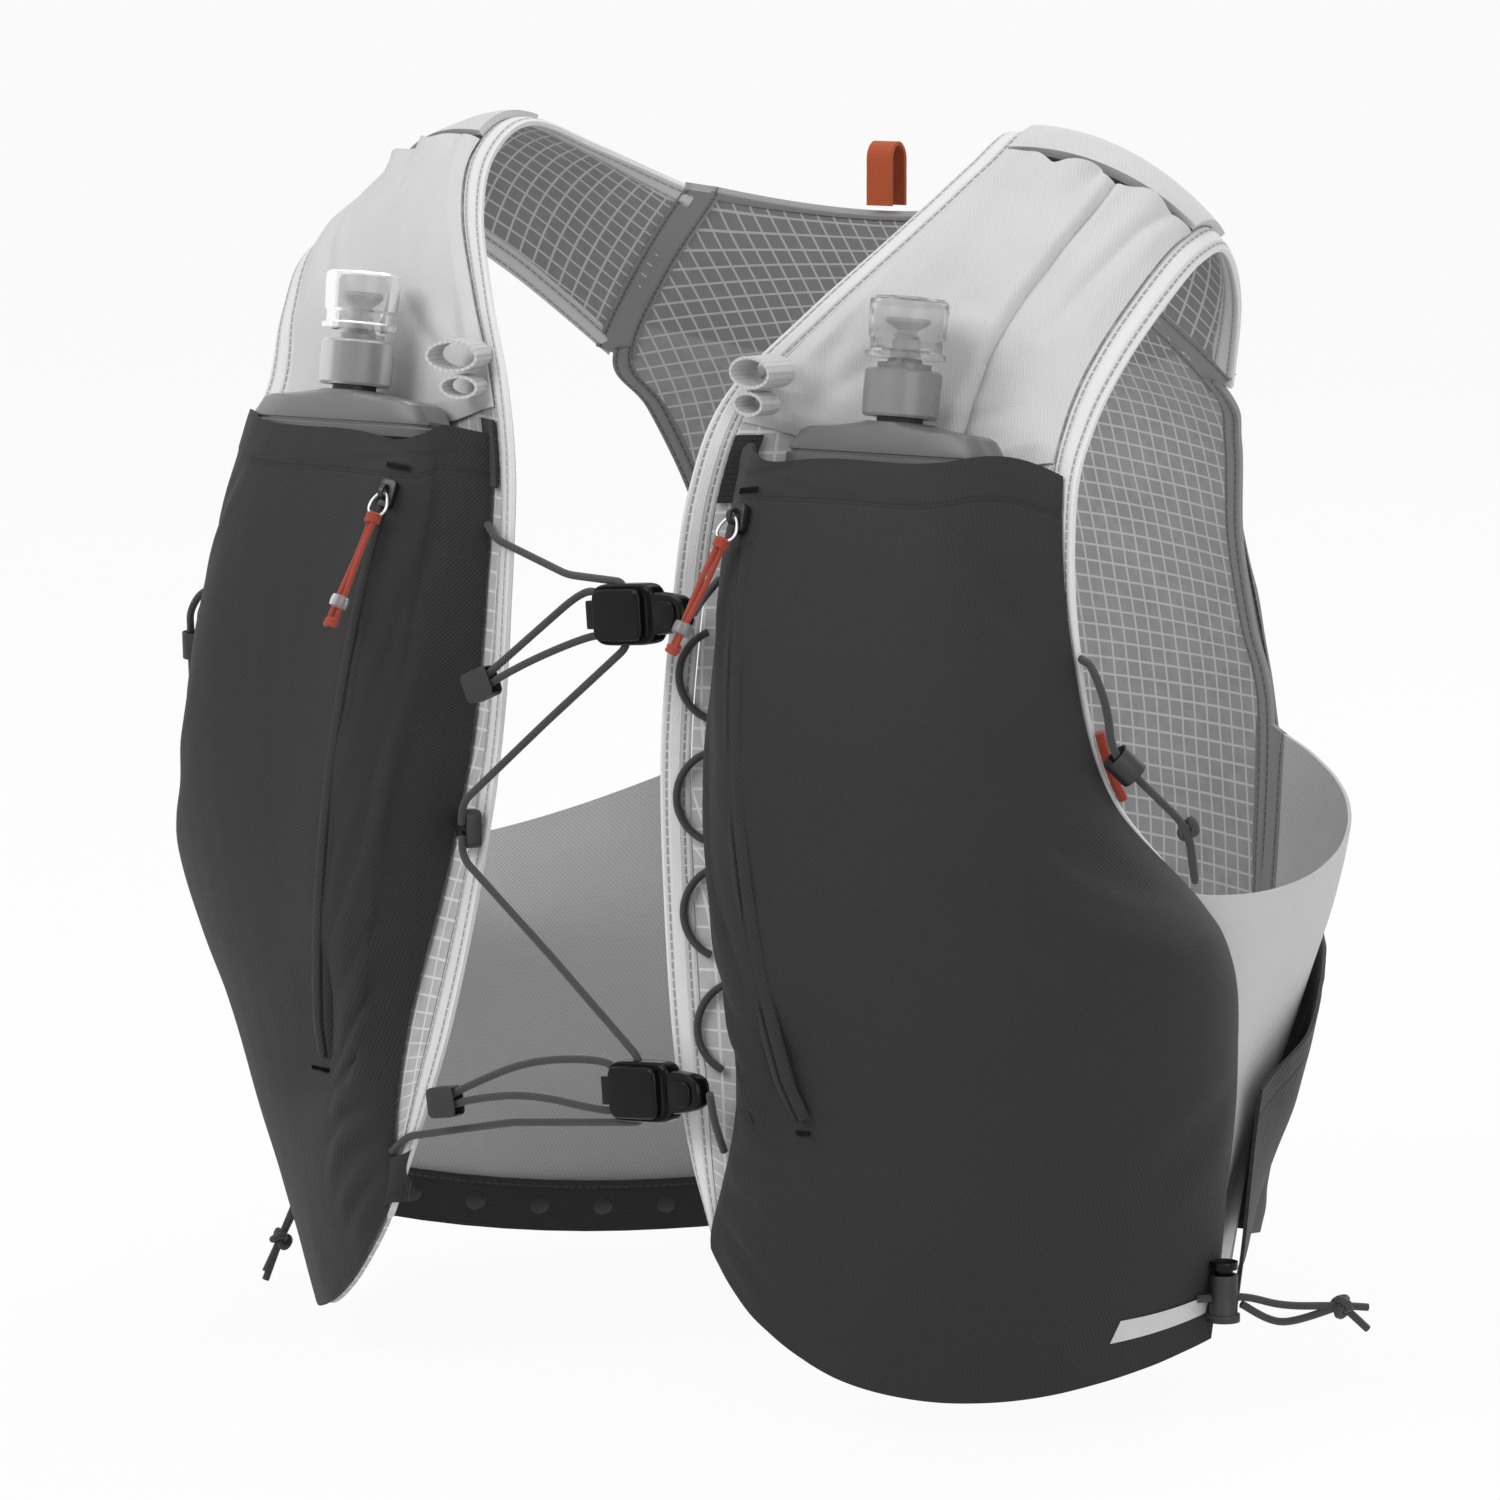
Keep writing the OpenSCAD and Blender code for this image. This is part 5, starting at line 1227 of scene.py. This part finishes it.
# ---------------------------------------------------------------- locks, keeper, knots
def pebble(name, size, square, edge, at, node=(), crown=0.0, taper=0.0):
    """A moulded glossy block in a lock's frame: rounded outline, crowned face, taper along X."""
    wide, thick, high = size
    rings = [(f, 0, -thick / 2 - crown * (1 - f * f)) for f in (0.03, 0.35, 0.6, 0.8, 0.93)]
    for q in range(7):
        a = q / 6 * pi / 2
        rings.append((1, edge * (1 - sin(a)), -thick / 2 + edge * (1 - cos(a))))
    rings += [(f, e, -y) for f, e, y in rings[::-1]]
    n = 72
    v = []
    for f, inset, y in rings:
        for a in np.arange(n) * 2 * pi / n:
            x = power(cos(a), 2 / square) * (wide / 2 - inset) * f
            z = power(sin(a), 2 / square) * (high / 2 - inset) * f
            v.append((x, y, z * (1 - taper * (x / wide + 0.5))))
    return add(name, v, skin(len(rings), n), "gloss", "vest", node, matrix=at,
               sharp=60)


for w in ("upper", "lower"):
    at = placed(LOCKS[w], LOCK_EX, (0, 0, 1))
    shift = lambda x, y: at @ moved((x, y, 0))
    pebble("lace_lock_case_" + w, (LOCK_L, LOCK_T, LOCK_H + 2.4), 5.5, 2.0, shift(-0.6, 0),
           "lace_lock_" + w)
    pebble("lace_lock_plate_" + w, (LOCK_L - 5.5, 3.0, LOCK_H - 0.6), 6.5, 1.0,
           shift(-1.6, -LOCK_T / 2 - 0.4), (), 0.5)
    pebble("lace_lock_nose_" + w, (19, LOCK_T - 1.2, LOCK_H - 1.5), 3.6, 2.2,
           shift(LOCK_L / 2 + 1.2, 0), (), 0.3, 0.3)
    pebble("lace_lock_thumb_" + w, (8, 1.6, LOCK_H - 8), 3.0, 0.7,
           shift(LOCK_L / 2 + 4.2, -LOCK_T / 2 + 0.2), (), 0.4, 0.1)
    refined("lock_button_" + w, "gloss", "button_" + w, 0.6, 2)
    refined("cord_end_" + w, "matte", "vest", 0.9, 3)
refined("lace_keeper", "matte", "vest", 0.5)
for k, side in enumerate(SIDES):
    refined("side_bead_" + side, "matte", "vest", 0.8, 3)
    refined("hem_lock_" + side, "matte", "vest", 0.5)
    refined("hem_plunger_" + side, "gloss", "plunger_" + side, 0.5)
    at, way = side_knots[k]
    mirror = V(1 - 2 * k, 1, 1)
    knot("side_knot_" + side, at * mirror, way * mirror)
    h, stop, way = hem_ends[k]
    knot("hem_knot_" + side, stop * mirror, way * mirror)
    p = [h + HEM_RUN * 6 + V(0, 0, -2.4), mix(h, stop, 0.5) + V(0, 0, HEM_SAG[k] - 5), stop]
    tube("hem_strand_" + side, curve(p, 24), CORD_R, "cord", "vest", (), flip=k)
    p = [stop, stop + way * 4 + V(0, 0, -3), stop + way * 9 + V(0, 0, -7)]
    tube("hem_tip_" + side, curve(p, 12), CORD_R, "cord", "vest", (), flip=k)

# Lace loops down the wearer's left strap, each a half hoop sewn under the pocket's edge.
loop_rad, loop_span = 14.6, 27
half = math.asin(loop_span / 2 / loop_rad)
for q, st in enumerate((4.5, 3.69, 2.95, 2.22)):
    edge_in = smooth(NECK_IN, st)
    a = on_strap(st, edge_in - 3.6, 0, CORD_LIFT)
    b = on_strap(st, 4, 0, CORD_LIFT)
    up = on_strap(st + 0.2, edge_in, 0, CORD_LIFT) - a
    place = placed(a, b - a, up)
    t = np.linspace(-half, half, 40)
    pts = xyz(loop_rad * (np.cos(t) - cos(half)), 0, loop_rad * np.sin(t))
    tube(f"lace_loop_{q}", pts, CORD_R, "cord", "vest", "lace_loops", matrix=place)
for w, st in (("upper", 5.2), ("lower", 1.3)):
    eye = LOCKS[w] + LOCK_EX * (LOCK_L / 2 + 7 + 4.5 + 2 * GAP + CORD_R)
    seat = on_strap(st, smooth(NECK_IN, st) - 2.6, 0, CORD_LIFT)
    loop = curve([seat, mix(seat, eye, 0.5) + V(0, -1.2, 0), eye + V(0, -0.6, 0)], 24)
    tube("lock_tie_" + w, loop, CORD_R, "cord", "vest", "lace_loops")

# Ribbed flask keepers, pocket tabs and the orange side pull.
for k, side in enumerate(SIDES):
    t = np.linspace(0, 2 * pi, 73)
    turn = spin(78, "Z") @ spin(90, "Y") @ spin(90, "Z")
    ring = xyz(8.9 * np.cos(t), 4.7 * np.sin(t), 0)
    g = ring[:, None] + xyz(0, 0, np.linspace(-5.5, 5.5, 9))
    g = g @ np.array(turn.to_3x3()).T
    for q, (drop, size) in enumerate(((0, 1), (-10, 0.72))):
        part = g * size + V(60.6 - 2 * q, -94.4, 329 + drop)
        cloth(f"flask_keeper_{side}_{q}", part, -0.5, 0.5, ["webbing"], "flask_keepers",
              flip=k)
    i, j = mesh_of(24, 8)
    st, d = 6.22 + (i - 0.5) * 0.7, TAPE_IN + 9 * j
    g = on_strap(st, d, k, TAPE_T / 2 + 0.8)
    cloth("pocket_tab_piece_" + side, g, -0.5, 0.5, ["dark_tab"], "pocket_tabs",
          flip=k)
pts = np.array([at_arm(st, -2.3, 0, -0.6) for st in (4.42, 4.3, 4.18, 4.06, 3.96)])
tube("side_pull_cord", curve(pts, 40), 1.6, "orange_cord", "vest", "side_pull")

# ---------------------------------------------------------------- floor, lights, world
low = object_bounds()[0]
me = bpy.data.meshes.new("floor")
me.from_pydata([(-30, -30, 0), (30, -30, 0), (30, 30, 0), (-30, 30, 0)], [], [(0, 1, 2, 3)])
floor = bpy.data.objects.new("floor", me)
floor.location = (0, 0, low[2] - 0.0005)
scene.collection.objects.link(floor)


def backdrop(t, lit, pale, share, end):
    """A plain surface for the object's light, shown paler to the camera, gloss and glass."""
    path = N(t, "LightPath")
    camera, gloss, glass = [Val(t, path.outputs[f"Is {kind} Ray"])
                            for kind in ("Camera", "Glossy", "Transmission")]
    seen = camera.op("MAXIMUM", gloss.op("MAXIMUM", glass))
    t.links.new(N(t, "MixShader", seen * share, lit.outputs[0], pale.outputs[0]).outputs[0], end)


WHITE = (1, 1, 1, 1)
m, t, b = start("floor", (0.85, 0.85, 0.85, 1), 0.9, Specular_IOR_Level=0.1)
backdrop(t, b, N(t, "Emission", WHITE, 1.0), 0.93, t.nodes["Material Output"].inputs["Surface"])
me.materials.append(m)
world = bpy.data.worlds.new("world")
world.use_nodes = True
scene.world = world
t = world.node_tree
t.nodes.clear()
backdrop(t, N(t, "Background", WHITE, 0.42), N(t, "Background", WHITE, 1.0), 1.0,
         N(t, "OutputWorld").inputs[0])


def lamp(name, at, size, watts):
    data = bpy.data.lights.new(name, "AREA")
    data.size, data.energy = size, watts
    o = bpy.data.objects.new(name, data)
    o.location = at
    o.rotation_euler = (Vector((0, 0, 0.2)) - Vector(at)).to_track_quat("-Z", "Y").to_euler()
    scene.collection.objects.link(o)


lamp("key", (-0.6, -2.2, 1.9), 1.6, 34)
lamp("fill", (2.4, -1.2, 0.9), 1.8, 18)
lamp("back", (0.2, 2.2, 1.8), 1.8, 22)
lamp("top", (0, 0.1, 2.4), 1.6, 14)
